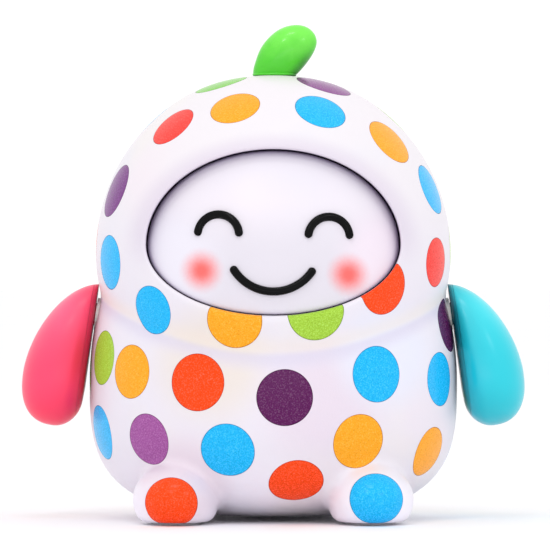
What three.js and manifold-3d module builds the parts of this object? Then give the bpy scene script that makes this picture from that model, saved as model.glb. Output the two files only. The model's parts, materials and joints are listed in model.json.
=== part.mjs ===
// A round musical toy figure: a two-part hollow body with a face panel behind an oval opening,
// two flippers on friction pivots, a press-down leaf, and the battery works inside.
// Millimetres. +Z is up, the face looks along -Y, the floor is z = 0.
import * as THREE from 'three';
import { mergeVertices } from 'three/addons/utils/BufferGeometryUtils.js';
import Module from 'manifold-3d';

const wasm = await Module();
wasm.setup();

// Gaps between pieces
const fitGap = 0.3;
const partingGap = 0.3;
const screwGap = 0.3;
const sinkGap = 0.5;

// Belly
const bellyY = 2.5;
const bellyZ = 55.25;
const bellyHalfWidth = 73.5;
const bellyHalfDepth = 72;
const bellyRise = 93;
const bellyDrop = 54;
const bellySquareness = 3.2;
const bellyRearY = bellyY + bellyHalfDepth;

// Hood
const hoodY = -3.5;
const hoodZ = 105.65;
const hoodHalfWidth = 70.8;
const hoodHalfDepth = 73;
const hoodRise = 72.5;
const hoodDrop = 65;
const hoodRearY = hoodY + hoodHalfDepth;
const chinCurveRadius = 100;
const neckBlend = 2;

// Feet: a pair of toes in front and a pair of heels behind
const toeX = 38;
const toeY = -47.5;
const toeZ = 9.6;
const toeHalfWidth = 16.8;
const toeHalfLength = 23;
const toeHalfHeight = 14.6;
const heelX = 36;
const heelY = 39.5;
const heelZ = 8;
const heelHalfWidth = 15;
const heelHalfLength = 19;
const heelHalfHeight = 12.5;
const soleZ = 0.5;

// Shell
const shellWall = 2.4;
const toePadHalfWidth = 9.5;
const toePadHalfLength = 13;
const heelPadHalfWidth = 8;
const heelPadHalfLength = 9.5;
const padThickness = 1.3;

// Shell screws, driven from behind
const lowerScrewX = 52;
const lowerScrewZ = 46;
const upperScrewX = 40;
const upperScrewZ = 146;
const bottomScrewZ = 12.5;
const shellScrewSeatY = 6;
const shellScrewLength = 16;
const shellScrewRadius = 1.5;
const shellScrewHeadRadius = 2.8;
const screwHeadHeight = 1.8;
const screwSlotWidth = 0.7;
const bossWall = 1.6;
const frontBossWall = 2.2;

// Face opening and face panel
const faceHalfWidth = 49.6;
const faceZ = 109;
const faceRise = 37.1;
const faceDrop = 27.4;
const faceSeatY = -43.5;
const faceBrim = 5;
const faceWall = 2.2;
const domeY = -7;
const domeZ = 94.65;
const domeHalfWidth = 66;
const domeHalfDepth = 66;
const domeHalfHeight = 80;
const stakeRadius = 1;
const stakeHeadRadius = 2;
const stakeHeadHeight = 1.2;

// Eyes and smile: round bars half sunk in grooves of the face
const eyeX = 21.4;
const eyeZ = 112.4;
const eyeArcRadius = 8;
const smileZ = 109.1;
const smileArcRadius = 18.2;
const smileHalfAngle = 57;
const barRadius = 1.3;
const barProud = 0.35;
const pegRadius = 0.8;

// Leaf button
const leafX = 3.9;
const leafZ = 184.35;
const leafHalfLength = 16.2;
const leafHalfBreadth = 8.7;
const leafHalfDepth = 7;
const leafLean = 40;
const leafWall = 1.8;
const leafBaseZ = 177.7;
const leafStemX = 0.6;
const leafStemHalfWidth = 8.3;
const leafStemHalfDepth = 5.6;
const leafFlangeTopZ = 173.2;
const leafFlangeRim = 3.6;
const leafFlangeHeight = 1.5;
const leafTravel = 1.2;
const leafHoleX = 1.2;
const leafHoleHalfWidth = 10.1;
const leafHoleHalfDepth = 7;
const plungerPlateHeight = 1.2;
const plungerPostRadius = 2.4;
const leafBoardZ = 160;
const leafBoardHalfLength = 13;
const leafBoardHalfWidth = 8;
const boardThickness = 1.6;
const leafSwitchHalfWidth = 3;
const leafSwitchHeight = 3.5;
const leafSwitchButtonRadius = 1.7;
const leafSwitchButtonHeight = 1.2;
const plungerPlay = 0.2;
const leafSpringRadius = 5.4;
const leafSpringWire = 0.5;
const leafSpringTurns = 4;
const shelfHalfWidth = 12.5;
const shelfHeight = 2.4;
const ribWidth = 2;
const ribDrop = 9;
const leafBoardScrewX = 10;

// Wings: length W runs down from the pivot, thickness U points outward
const wingPivotProud = 0.17;
const wingPivotZ = 81.65;
const wingTilt = 8;
const wingTopW = 12;
const wingBulgeW = -27;
const wingBottomW = -46.5;
const wingThickness = 26;
const wingHalfBreadth = 19;
const wingTaper = 1.75;
const wingRoundness = 3.2;
const wingHeelU = 10.4;
const wingHeelW = -34.5;
const wingFullness = 2.3;
const wingKeelShare = 0.35;
const wingPointWall = 3.5;
const wingWall = 2;
const wingInnerFaceU = 0.8;
const wingPlateThickness = 1.6;
const hubRadius = 4.5;
const bushWall = 1.7;
const bushSeatU = -4;
const bushFlangeRim = 2.5;
const bushFlangeThickness = 1.5;
const bearingBossRim = 2;
const washerRadius = 7.2;
const washerThickness = 1;
const wingScrewRadius = 1.4;
const wingScrewHeadRadius = 2.8;

// Battery box, cells and door
const cellCount = 3;
const cellRadius = 7.1;
const cellLength = 49;
const cellNubRadius = 2.7;
const cellNubLength = 1.2;
const cellPitch = 15.4;
const cellSideGap = 0.7;
const cellFrontGap = 0.9;
const ridgeHalfLength = 15;
const ridgeHeight = 3;
const ridgeThickness = 0.8;
const batteryZ = 46;
const batteryInset = 27.8;
const batteryY = bellyRearY - batteryInset;
const boxWall = 1.6;
const boxEndSpace = 3.7;
const boxInset = 19.7;
const boxRearY = bellyRearY - boxInset;
const earReachX = 49;
const earSink = 3.9;
const earY = batteryY - earSink;
const earThickness = 2.4;
const earHalfHeight = 4;
const earSpreadZ = 16;
const earPinX = 44.9;
const earPinRadius = 1.5;
const earPostRadius = 3;
const contactThickness = 0.6;
const contactHalfWidth = 5;
const contactSpringWire = 0.4;
const contactSpringRadius = 3.6;
const contactSpringTurns = 2;
const doorHalfWidth = 39;
const doorHalfHeight = 24.5;
const doorCorner = 6;
const doorWall = 1.6;
const doorSeatRim = 2.5;
const doorSeatWall = 2.3;
const doorScrewX = 31.5;
const doorScrewInset = 2.06;
const doorScrewLength = 7.5;
const doorScrewRadius = 1.4;
const doorBossDepth = 2;
const doorPostHeight = 5.8;

// Main board on the front of the battery box
const boardHalfWidth = 26;
const boardHalfHeight = 20;
const boardStandoff = 4;
const boardPostRadius = 2.5;
const boardPostX = 22;
const boardPostZ = 16;
const boardScrewRadius = 1;
const boardScrewHeadRadius = 2;
const boardScrewLength = 5;
const chipX = -14;
const chipHalfWidth = 6;
const chipHalfHeight = 4.5;
const chipHeight = 1.5;
const capacitorX = 12;
const capacitorZ = 40;
const capacitorRadius = 3;
const capacitorHeight = 8;
const socketX = 8;
const socketHalfWidth = 6.5;
const socketHeight = 5;
const socketDepth = 5.5;

// Loudspeaker behind slots in the back of the hood
const speakerZ = 118;
const speakerInset = 13;
const speakerSeatY = hoodRearY - speakerInset;
const speakerRadius = 20.5;
const speakerBore = 17;
const speakerRim = 1.5;
const speakerDepth = 9;
const speakerNeckRadius = 8;
const speakerWall = 0.9;
const speakerRingWall = 3;
const magnetRadius = 11;
const magnetHeight = 7;
const speakerEarX = 24.5;
const speakerEarRadius = 3.6;
const speakerScrewRadius = 1;
const speakerScrewHeadRadius = 2.2;
const slotCount = 5;
const slotPitch = 5;
const slotHalfHeight = 1.1;
const slotLongest = 14;

// Slide switch above the battery door
const switchZ = 86;
const switchHalfWidth = 9;
const switchHalfHeight = 4;
const switchInset = 8.3;
const switchDepth = 7.2;
const switchRearY = bellyRearY - switchInset;
const switchFrontY = switchRearY - switchDepth;
const switchTravel = 8;
const knobHalfWidth = 2;
const knobHalfHeight = 1.8;
const knobProud = 5.9;
const knobRearY = switchRearY + knobProud;
const knobDepth = 3.6;
const railWidth = 2;

// Leads inside the body
const leadRadius = 0.9;
const leadGap = 0.6;
const leadPitch = 3;
const leadDrop = 12;
const leadStep = 3;
const leadBendBack = 7.5;
const speakerLeadX = 2;
const switchLeadX = 6;
const batteryLeadX = 10;
const leafLeadY = 4;
const leafLeadSwing = 4;

// Surface resolution
const bodyColumns = 36;
const bodyRows = 24;
const liningColumns = 24;
const liningRows = 16;
const outlineSteps = 36;

const far = 140;
const degree = Math.PI / 180;
const up = new THREE.Vector3(0, 0, 1);
const trunkCore = new THREE.Vector3(0, 2, 60);

// A closed indexed geometry as a solid that can be cut and joined
function solidOf(geometry) {
  const bare = geometry.clone();
  bare.deleteAttribute('normal');
  bare.deleteAttribute('uv');
  const merged = mergeVertices(bare, 1e-4);
  return new wasm.Manifold(new wasm.Mesh({
    numProp: 3,
    vertProperties: new Float32Array(merged.attributes.position.array),
    triVerts: new Uint32Array(merged.index.array),
  }));
}

// A solid's surface as a geometry
function geometryOf(solid) {
  const mesh = solid.getMesh();
  const geometry = new THREE.BufferGeometry();
  geometry.setAttribute('position', new THREE.BufferAttribute(mesh.vertProperties, 3));
  geometry.setIndex(new THREE.BufferAttribute(mesh.triVerts, 1));
  geometry.computeVertexNormals();
  return geometry;
}

function joined(...solids) {
  return solids.reduce((whole, solid) => whole.add(solid));
}

function cutFrom(solid, ...cutters) {
  return cutters.reduce((rest, cutter) => rest.subtract(cutter), solid);
}

function point(x, y, z) {
  return new THREE.Vector3(x, y, z);
}

function box(x0, x1, y0, y1, z0, z1) {
  const geometry = new THREE.BoxGeometry(x1 - x0, y1 - y0, z1 - z0);
  geometry.translate((x0 + x1) / 2, (y0 + y1) / 2, (z0 + z1) / 2);
  return solidOf(geometry);
}

// A round rod between two points
function rod(radius, start, end, sides = 10) {
  const run = end.clone().sub(start);
  const geometry = new THREE.CylinderGeometry(radius, radius, run.length(), sides);
  const turn = new THREE.Quaternion().setFromUnitVectors(point(0, 1, 0), run.clone().normalize());
  geometry.applyQuaternion(turn);
  const middle = start.clone().add(end).multiplyScalar(0.5);
  geometry.translate(middle.x, middle.y, middle.z);
  return solidOf(geometry);
}

function rodAlongY(radius, x, z, y0, y1, sides = 10) {
  return rod(radius, point(x, y0, z), point(x, y1, z), sides);
}

function tubeAlongY(radius, bore, x, z, y0, y1, sides = 10) {
  return rodAlongY(radius, x, z, y0, y1, sides)
    .subtract(rodAlongY(bore, x, z, y0 - 1, y1 + 1, sides));
}

// An elliptical upright column
function ellipseColumn(x, y, halfWidth, halfDepth, z0, z1, sides = 20) {
  const geometry = new THREE.CylinderGeometry(1, 1, z1 - z0, sides);
  geometry.rotateX(Math.PI / 2);
  geometry.scale(halfWidth, halfDepth, 1);
  geometry.translate(x, y, (z0 + z1) / 2);
  return solidOf(geometry);
}

// An outline in the X-Z plane drawn out along Y
function prismAlongY(shape, y0, y1) {
  const geometry = new THREE.ExtrudeGeometry(shape, {
    depth: y1 - y0,
    bevelEnabled: false,
    curveSegments: 3,
  });
  geometry.rotateX(Math.PI / 2);
  geometry.translate(0, y1, 0);
  return solidOf(geometry);
}

// Rings of points from a top point to a bottom point, each ring turning anticlockwise seen from the top
function ringSolid(top, rings, bottom) {
  const columns = rings[0].length;
  const positions = [top, ...rings.flat(), bottom].flatMap((p) => [p.x, p.y, p.z]);
  const at = (row, column) => 1 + row * columns + (column % columns);
  const last = 1 + rings.length * columns;
  const faces = [];
  for (let column = 0; column < columns; column += 1) {
    faces.push(0, at(0, column), at(0, column + 1));
    for (let row = 0; row + 1 < rings.length; row += 1) {
      faces.push(at(row, column), at(row + 1, column), at(row + 1, column + 1));
      faces.push(at(row, column), at(row + 1, column + 1), at(row, column + 1));
    }
    faces.push(last, at(rings.length - 1, column + 1), at(rings.length - 1, column));
  }
  const geometry = new THREE.BufferGeometry();
  geometry.setAttribute('position', new THREE.Float32BufferAttribute(positions, 3));
  geometry.setIndex(faces);
  return solidOf(geometry);
}

// A tube of constant radius through points, with round ends where asked
function tube(points, radius, steps, sides = 8, roundEnds = false) {
  const section = new THREE.Shape();
  section.absarc(0, 0, radius, 0, 2 * Math.PI);
  const outline = new THREE.Shape(section.getSpacedPoints(sides).slice(0, sides));
  const path = new THREE.CatmullRomCurve3(points);
  const run = { steps, extrudePath: path, bevelEnabled: false };
  const body = solidOf(new THREE.ExtrudeGeometry(outline, run));
  if (!roundEnds) {
    return body;
  }
  const ends = [points[0], points[points.length - 1]].map((end) => {
    const ball = new THREE.SphereGeometry(radius, sides, 4);
    ball.translate(end.x, end.y, end.z);
    return solidOf(ball);
  });
  return joined(body, ...ends);
}

// Points of a helix round the Z axis that widens evenly from one radius to another
function helixPoints(startRadius, endRadius, height, turns, perTurn) {
  const count = turns * perTurn;
  return Array.from({ length: count + 1 }, (_, index) => {
    const share = index / count;
    const radius = THREE.MathUtils.lerp(startRadius, endRadius, share);
    const turn = 2 * Math.PI * turns * share;
    return point(radius * Math.cos(turn), radius * Math.sin(turn), height * share);
  });
}

// A slotted screw: its head's underside lies at the seat and its shank runs along the drive
function screw(seat, drive, radius, headRadius, length) {
  const along = drive.clone().normalize();
  const head = seat.clone().addScaledVector(along, -screwHeadHeight);
  const body = joined(
    rod(headRadius, head, seat.clone().addScaledVector(along, 0.01), 12),
    rod(radius, seat, seat.clone().addScaledVector(along, length), 8),
  );
  const slot = new THREE.BoxGeometry(4 * headRadius, screwSlotWidth, screwHeadHeight);
  slot.applyQuaternion(new THREE.Quaternion().setFromUnitVectors(up, along));
  slot.translate(head.x, head.y, head.z);
  return body.subtract(solidOf(slot));
}

// How far a point lies outside an egg, measured along the line to the egg's centre
function outsideEgg(across, level, power, radius) {
  const reach = (across ** power + level ** power) ** (1 / power);
  return radius * (1 - 1 / Math.max(reach, 1e-6));
}

function outsideBelly(p, inset) {
  const y = p.y - bellyY;
  const z = p.z - bellyZ;
  const across = Math.hypot(p.x / (bellyHalfWidth - inset), y / (bellyHalfDepth - inset));
  const level = z > 0 ? z / (bellyRise - inset) : -z / (bellyDrop - inset);
  return outsideEgg(across, level, z > 0 ? 2 : bellySquareness, Math.hypot(p.x, y, z));
}

// The hood's lower half bows forward, like a chin
function outsideHood(p, inset) {
  const z = p.z - hoodZ;
  const chin = z < 0 ? z * z / (2 * chinCurveRadius) : 0;
  const y = p.y - hoodY + chin;
  const across = Math.hypot(p.x / (hoodHalfWidth - inset), y / (hoodHalfDepth - inset));
  const level = Math.abs(z) / ((z > 0 ? hoodRise : hoodDrop) - inset);
  return outsideEgg(across, level, 2, Math.hypot(p.x, y, z));
}

// The nearer of two surfaces, with a fillet where they meet
function blended(a, b, width) {
  const share = Math.max(width - Math.abs(a - b), 0) / width;
  return Math.min(a, b) - share * share * width / 4;
}

// Below zero inside the trunk, whose skin is drawn in by the inset
function outsideTrunk(p, inset) {
  return blended(outsideBelly(p, inset), outsideHood(p, inset), neckBlend);
}

// Where a ray from inside the trunk leaves it
function trunkPoint(direction, inset, from = trunkCore) {
  const at = (length) => from.clone().addScaledVector(direction, length);
  const step = 2;
  let outer = far;
  while (outsideTrunk(at(outer - step), inset) > 0) {
    outer -= step;
  }
  let inner = outer - step;
  for (let pass = 0; pass < 24; pass += 1) {
    const middle = (outer + inner) / 2;
    if (outsideTrunk(at(middle), inset) > 0) {
      outer = middle;
    } else {
      inner = middle;
    }
  }
  return at(inner);
}

function trunkSolid(inset, columns, rows) {
  const rings = [];
  for (let row = 1; row < rows; row += 1) {
    const polar = Math.PI * row / rows;
    rings.push(Array.from({ length: columns }, (_, column) => {
      const turn = 2 * Math.PI * column / columns;
      const flat = Math.sin(polar);
      return trunkPoint(point(flat * Math.cos(turn), flat * Math.sin(turn), Math.cos(polar)), inset);
    }));
  }
  return ringSolid(trunkPoint(up, inset), rings, trunkPoint(point(0, 0, -1), inset));
}

function footSolid(place, inset, columns, rows) {
  const geometry = new THREE.SphereGeometry(1, columns, rows);
  geometry.rotateX(Math.PI / 2);
  geometry.scale(place.halfWidth - inset, place.halfLength - inset, place.halfHeight - inset);
  geometry.translate(place.x, place.y, place.z);
  return solidOf(geometry);
}

const feet = [-1, 1].flatMap((side) => [
  {
    x: side * toeX,
    y: toeY,
    z: toeZ,
    halfWidth: toeHalfWidth,
    halfLength: toeHalfLength,
    halfHeight: toeHalfHeight,
  },
  {
    x: side * heelX,
    y: heelY,
    z: heelZ,
    halfWidth: heelHalfWidth,
    halfLength: heelHalfLength,
    halfHeight: heelHalfHeight,
  },
]);

// The whole body, trunk and feet, cut flat at the soles
function bodySolid(inset, columns, rows) {
  const footColumns = columns / 2;
  const lobes = feet.map((place) => footSolid(place, inset, footColumns, rows / 2));
  const aboveSoles = box(-far, far, -far, far, soleZ + inset, 2 * far);
  return joined(trunkSolid(inset, columns, rows), ...lobes).intersect(aboveSoles);
}

const outerBody = bodySolid(0, bodyColumns, bodyRows);
const liningBody = bodySolid(shellWall, liningColumns, liningRows);
const midBody = bodySolid(shellWall / 2, liningColumns, liningRows);
const frontSpace = box(-far, far, -far, -partingGap / 2, -far, 2 * far);
const rearSpace = box(-far, far, partingGap / 2, far, -far, 2 * far);

// Face opening
function faceOutline(offset) {
  return new THREE.Shape(Array.from({ length: outlineSteps }, (_, index) => {
    const turn = 2 * Math.PI * index / outlineSteps;
    const half = Math.sin(turn) > 0 ? faceRise : faceDrop;
    const x = (faceHalfWidth + offset) * Math.cos(turn);
    return new THREE.Vector2(x, faceZ + (half + offset) * Math.sin(turn));
  }));
}

function facePrism(offset, y0, y1) {
  return prismAlongY(faceOutline(offset), y0, y1);
}

const stakePlaces = [45, 135, 225, 315].map((turn) => {
  const half = turn < 180 ? faceRise : faceDrop;
  const offset = shellWall / 2;
  return {
    x: (faceHalfWidth + offset) * Math.cos(turn * degree),
    z: faceZ + (half + offset) * Math.sin(turn * degree),
  };
});
const brimFrontY = faceSeatY + fitGap;
const brimRearY = brimFrontY + faceWall;

function domeSolid(inset, columns, rows) {
  const geometry = new THREE.SphereGeometry(1, columns, rows);
  geometry.scale(domeHalfWidth - inset, domeHalfDepth - inset, domeHalfHeight - inset);
  geometry.rotateZ(Math.PI / columns);
  geometry.translate(0, domeY, domeZ);
  return solidOf(geometry);
}

// A point on the face, lifted off it by a distance
function domePoint(x, z, lift) {
  const across = x / (domeHalfWidth + lift);
  const level = (z - domeZ) / (domeHalfHeight + lift);
  return point(x, domeY - (domeHalfDepth + lift) * Math.sqrt(1 - across ** 2 - level ** 2), z);
}

// An arc drawn on the face, from one angle to another round a centre
function faceArc(x, z, radius, from, to) {
  const count = 12;
  return Array.from({ length: count + 1 }, (_, index) => {
    const turn = THREE.MathUtils.lerp(from, to, index / count) * degree;
    return domePoint(x + radius * Math.cos(turn), z + radius * Math.sin(turn), barProud);
  });
}

const faceBars = [
  { name: 'eye_left', arc: faceArc(-eyeX, eyeZ, eyeArcRadius, 180, 0) },
  { name: 'eye_right', arc: faceArc(eyeX, eyeZ, eyeArcRadius, 180, 0) },
  { name: 'smile', arc: faceArc(0, smileZ, smileArcRadius, 270 - smileHalfAngle, 270 + smileHalfAngle) },
];

function pegRod(arc, radius, reach) {
  const middle = arc[(arc.length - 1) / 2];
  return rodAlongY(radius, middle.x, middle.z, middle.y, middle.y + reach, 8);
}

function facePanel() {
  const inside = -fitGap;
  const front = -far;
  const dome = domeSolid(0, 32, 22);
  const skin = dome.subtract(domeSolid(faceWall, 20, 14));
  const skirt = facePrism(inside, front, brimRearY)
    .subtract(facePrism(inside - faceWall, front, brimRearY + 1));
  const brim = facePrism(faceBrim, brimFrontY, brimRearY)
    .subtract(facePrism(inside - faceWall, brimFrontY - 1, brimRearY + 1));
  const capped = joined(skin, skirt).intersect(facePrism(inside, front, brimRearY)).intersect(dome);
  const holes = stakePlaces.map(({ x, z }) => (
    rodAlongY(stakeRadius + fitGap, x, z, brimFrontY - 1, brimRearY + 1, 8)
  ));
  const grooves = faceBars.map(({ arc }) => joined(
    tube(arc, barRadius + fitGap, 8, 6, true),
    pegRod(arc, pegRadius + fitGap, 2 * faceWall),
  ));
  const rearHalf = box(-far, far, brimRearY, far, -far, 2 * far);
  return cutFrom(joined(capped, brim), ...holes, ...grooves, rearHalf);
}

// The body's half width at a height
function trunkSideX(z) {
  return trunkPoint(point(1, 0, 0), 0, point(0, 0, z)).x;
}

// The pivots lie just off the body's side, and so far out that the wings' tops clear it too
const wingPivotX = wingPivotProud + Math.max(
  trunkSideX(wingPivotZ),
  trunkSideX(wingPivotZ + wingTopW) + wingTopW * Math.sin(wingTilt * degree) - wingInnerFaceU,
);

// Wings: places in wing space are (U outward, V backward, W up), and a matrix takes them to either side
function wingMatrix(side) {
  const turned = new THREE.Matrix4().makeRotationZ(side > 0 ? 0 : Math.PI);
  const placed = new THREE.Matrix4().makeTranslation(wingPivotX, 0, wingPivotZ);
  const tilted = new THREE.Matrix4().makeRotationY(-wingTilt * degree);
  return turned.multiply(placed).multiply(tilted);
}

function rodAlongU(radius, u0, u1, sides = 16) {
  return rod(radius, point(u0, 0, 0), point(u1, 0, 0), sides);
}

// The same solid on one side of the body
function onSide(solid, side) {
  const geometry = geometryOf(solid);
  geometry.applyMatrix4(wingMatrix(side));
  return solidOf(geometry);
}

function wingEnds(w) {
  const upper = (w - wingBulgeW) / (wingTopW - wingBulgeW);
  const lower = (wingBulgeW - w) / (wingBulgeW - wingBottomW);
  const power = w > wingBulgeW ? wingTaper : wingRoundness;
  const share = Math.min(Math.max(upper, lower), 1);
  return { share, power };
}

// A ring round the wing at height w
function wingRing(w, inset, columns) {
  const { share, power } = wingEnds(w);
  const outU = wingThickness * (1 - share ** power) ** (1 / power) - inset;
  const drop = Math.min(Math.max(wingHeelW - w, 0) / (wingHeelW - wingBottomW), 1);
  const inU = Math.min(wingHeelU * (1 - Math.sqrt(1 - drop ** 2)) + inset, outU);
  const breadth = wingHalfBreadth * (1 - share ** 2) ** 0.5 - inset;
  const middleU = THREE.MathUtils.lerp(inU, outU, wingKeelShare);
  const bent = (value) => Math.sign(value) * Math.abs(value) ** (2 / wingFullness);
  return Array.from({ length: columns }, (_, column) => {
    const turn = 2 * Math.PI * column / columns;
    const reach = Math.cos(turn) > 0 ? outU - middleU : middleU - inU;
    return point(middleU + reach * bent(Math.cos(turn)), Math.max(breadth, 0.05) * bent(Math.sin(turn)), w);
  });
}

function wingBlob(inset, columns, rows) {
  const top = wingTopW - (inset > 0 ? wingPointWall : 0);
  const bottom = wingBottomW + inset;
  const rings = Array.from({ length: rows - 1 }, (_, index) => {
    const share = (1 - Math.cos(Math.PI * (index + 1) / rows)) / 2;
    return wingRing(THREE.MathUtils.lerp(top, bottom, share), inset, columns);
  });
  const centre = (ring) => (ring[0].x + ring[columns / 2].x) / 2;
  return ringSolid(
    point(centre(rings[0]), 0, top),
    rings,
    point(centre(rings[rings.length - 1]), 0, bottom),
  );
}

const bushRadius = hubRadius + fitGap + bushWall;
const bushFlangeRadius = bushRadius + bushFlangeRim;
const bushFlangeU = bushSeatU - fitGap;
const bushInnerU = bushFlangeU - bushFlangeThickness;
const hubEndU = bushInnerU - fitGap;
const washerU = hubEndU - fitGap;
const wingPlateTopU = wingInnerFaceU + wingPlateThickness;

const wingSolids = {
  shell: wingBlob(0, 20, 14)
    .subtract(wingBlob(wingWall, 12, 8))
    .intersect(box(wingPlateTopU + fitGap, far, -far, far, -far, far)),
  plate: wingBlob(0, 20, 14)
    .intersect(box(wingInnerFaceU, wingPlateTopU, -far, far, -far, far))
    .add(rodAlongU(hubRadius, hubEndU, wingInnerFaceU + 0.2))
    .subtract(rodAlongU(wingScrewRadius + screwGap, hubEndU - 1, 0, 12)),
  bush: joined(
    rodAlongU(bushRadius, bushInnerU, fitGap),
    rodAlongU(bushFlangeRadius, bushInnerU, bushFlangeU),
  ).subtract(rodAlongU(hubRadius + fitGap, bushInnerU - 1, 2)),
  washer: rodAlongU(washerRadius, washerU - washerThickness, washerU)
    .subtract(rodAlongU(wingScrewRadius + screwGap, washerU - washerThickness - 1, washerU + 1, 12)),
  screw: screw(
    point(washerU - washerThickness - fitGap, 0, 0),
    point(1, 0, 0),
    wingScrewRadius,
    wingScrewHeadRadius,
    fitGap - 1 - (washerU - washerThickness - fitGap),
  ),
};

// Leaf button
function leafBlob(inset, columns, rows) {
  const geometry = new THREE.SphereGeometry(1, columns, rows);
  geometry.scale(leafHalfBreadth - inset, leafHalfDepth - inset, leafHalfLength - inset);
  geometry.rotateY(leafLean * degree);
  geometry.translate(leafX, 0, leafZ);
  return solidOf(geometry);
}

const leafFlangeZ = leafFlangeTopZ - leafFlangeHeight;
const plungerTopZ = leafFlangeZ - fitGap;
const plungerPlateZ = plungerTopZ - plungerPlateHeight;
const stemBoreHalfWidth = leafStemHalfWidth - leafWall;
const stemBoreHalfDepth = leafStemHalfDepth - leafWall;
const flangeHalfWidth = leafStemHalfWidth + leafFlangeRim;
const flangeHalfDepth = leafStemHalfDepth + leafFlangeRim;
const leafSwitchZ = leafBoardZ + fitGap;
const leafSwitchTopZ = leafSwitchZ + leafSwitchHeight + leafSwitchButtonHeight;
const plungerTipZ = leafSwitchTopZ + leafTravel + plungerPlay;

function leafColumn(halfWidth, halfDepth, z0, z1) {
  return ellipseColumn(leafStemX, 0, halfWidth, halfDepth, z0, z1);
}

function leafSolid() {
  const above = box(-far, far, -far, far, leafBaseZ, 2 * far);
  const stem = leafColumn(leafStemHalfWidth, leafStemHalfDepth, leafFlangeZ, leafBaseZ + 0.3);
  const flange = leafColumn(flangeHalfWidth, flangeHalfDepth, leafFlangeZ, leafFlangeTopZ);
  const bore = leafColumn(stemBoreHalfWidth, stemBoreHalfDepth, leafFlangeZ - 1, leafBaseZ + 1.5);
  const blade = leafBlob(0, 18, 12).intersect(above);
  const hollow = leafBlob(leafWall, 10, 7).intersect(above);
  return cutFrom(joined(blade, stem, flange), hollow, bore);
}

function plungerSolid() {
  const plugTopZ = leafBaseZ - leafWall;
  return joined(
    leafColumn(leafStemHalfWidth, leafStemHalfDepth, plungerPlateZ, plungerTopZ),
    leafColumn(stemBoreHalfWidth - fitGap, stemBoreHalfDepth - fitGap, plungerPlateZ, plugTopZ),
    rod(plungerPostRadius, point(leafStemX, 0, plungerTipZ), point(leafStemX, 0, plungerTopZ)),
  );
}

function leafSpringSolid() {
  const bottomZ = leafBoardZ + fitGap + leafSpringWire;
  const topZ = plungerPlateZ - fitGap - leafSpringWire;
  const points = helixPoints(leafSpringRadius, leafSpringRadius, topZ - bottomZ, leafSpringTurns, 8);
  const placed = points.map((p) => p.add(point(leafStemX, 0, bottomZ)));
  return tube(placed, leafSpringWire, leafSpringTurns * 8, 5);
}

function leafSwitchSolid() {
  const half = leafSwitchHalfWidth;
  const bodyTopZ = leafSwitchZ + leafSwitchHeight;
  return joined(
    box(leafStemX - half, leafStemX + half, -half, half, leafSwitchZ, bodyTopZ),
    rod(
      leafSwitchButtonRadius,
      point(leafStemX, 0, bodyTopZ - 0.5),
      point(leafStemX, 0, leafSwitchTopZ),
      12,
    ),
  );
}

const leafBoardScrewPlaces = [leafStemX - leafBoardScrewX, leafStemX + leafBoardScrewX];
const leafBoardBottomZ = leafBoardZ - boardThickness;
const shelfTopZ = leafBoardBottomZ - fitGap;

function leafBoardSolid() {
  const plate = box(
    leafStemX - leafBoardHalfLength, leafStemX + leafBoardHalfLength,
    -leafBoardHalfWidth, leafBoardHalfWidth, leafBoardBottomZ, leafBoardZ,
  );
  const holes = leafBoardScrewPlaces.map((x) => rod(
    boardScrewRadius + screwGap, point(x, 0, leafBoardBottomZ - 1), point(x, 0, leafBoardZ + 1), 10,
  ));
  return cutFrom(plate, ...holes);
}

// The shelf that carries the leaf's switch, cantilevered from the back of the hood on two ribs
function shelfSolid() {
  const frontY = -leafBoardHalfWidth - 1;
  const plate = box(
    leafStemX - shelfHalfWidth, leafStemX + shelfHalfWidth,
    frontY, far, shelfTopZ - shelfHeight, shelfTopZ,
  );
  const ribs = [-1, 1].map((side) => {
    const x = leafStemX + side * (shelfHalfWidth - ribWidth);
    const z0 = shelfTopZ - ribDrop;
    return box(x - ribWidth / 2, x + ribWidth / 2, frontY + 2, far, z0, shelfTopZ - 0.5);
  });
  const pilots = leafBoardScrewPlaces.map((x) => rod(
    boardScrewRadius + screwGap, point(x, 0, shelfTopZ - 2 * ribDrop), point(x, 0, shelfTopZ + 1), 10,
  ));
  return cutFrom(joined(plate, ...ribs).intersect(midBody), ...pilots);
}

// Battery box, open to the back, hung on four staked ears
const boxHalfInnerX = cellLength / 2 + boxEndSpace;
const boxHalfInnerZ = cellPitch * (cellCount - 1) / 2 + cellRadius + cellSideGap;
const boxInnerFrontY = batteryY - cellRadius - cellFrontGap;
const boxFrontY = boxInnerFrontY - boxWall;
const boardRearY = boxFrontY - boardStandoff - fitGap;
const boardFrontY = boardRearY - boardThickness;
const boardPosts = [-1, 1].flatMap((side) => [-1, 1].map((level) => (
  { x: side * boardPostX, z: batteryZ + level * boardPostZ }
)));
const boardScrews = [
  { name: 'board_screw_upper', post: boardPosts[1] },
  { name: 'board_screw_lower', post: boardPosts[2] },
];
const earPlaces = [-1, 1].flatMap((side) => [-1, 1].map((level) => (
  { side, z: batteryZ + level * earSpreadZ }
)));
const cellZs = Array.from({ length: cellCount }, (_, index) => (
  batteryZ + (index - (cellCount - 1) / 2) * cellPitch
));

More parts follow.
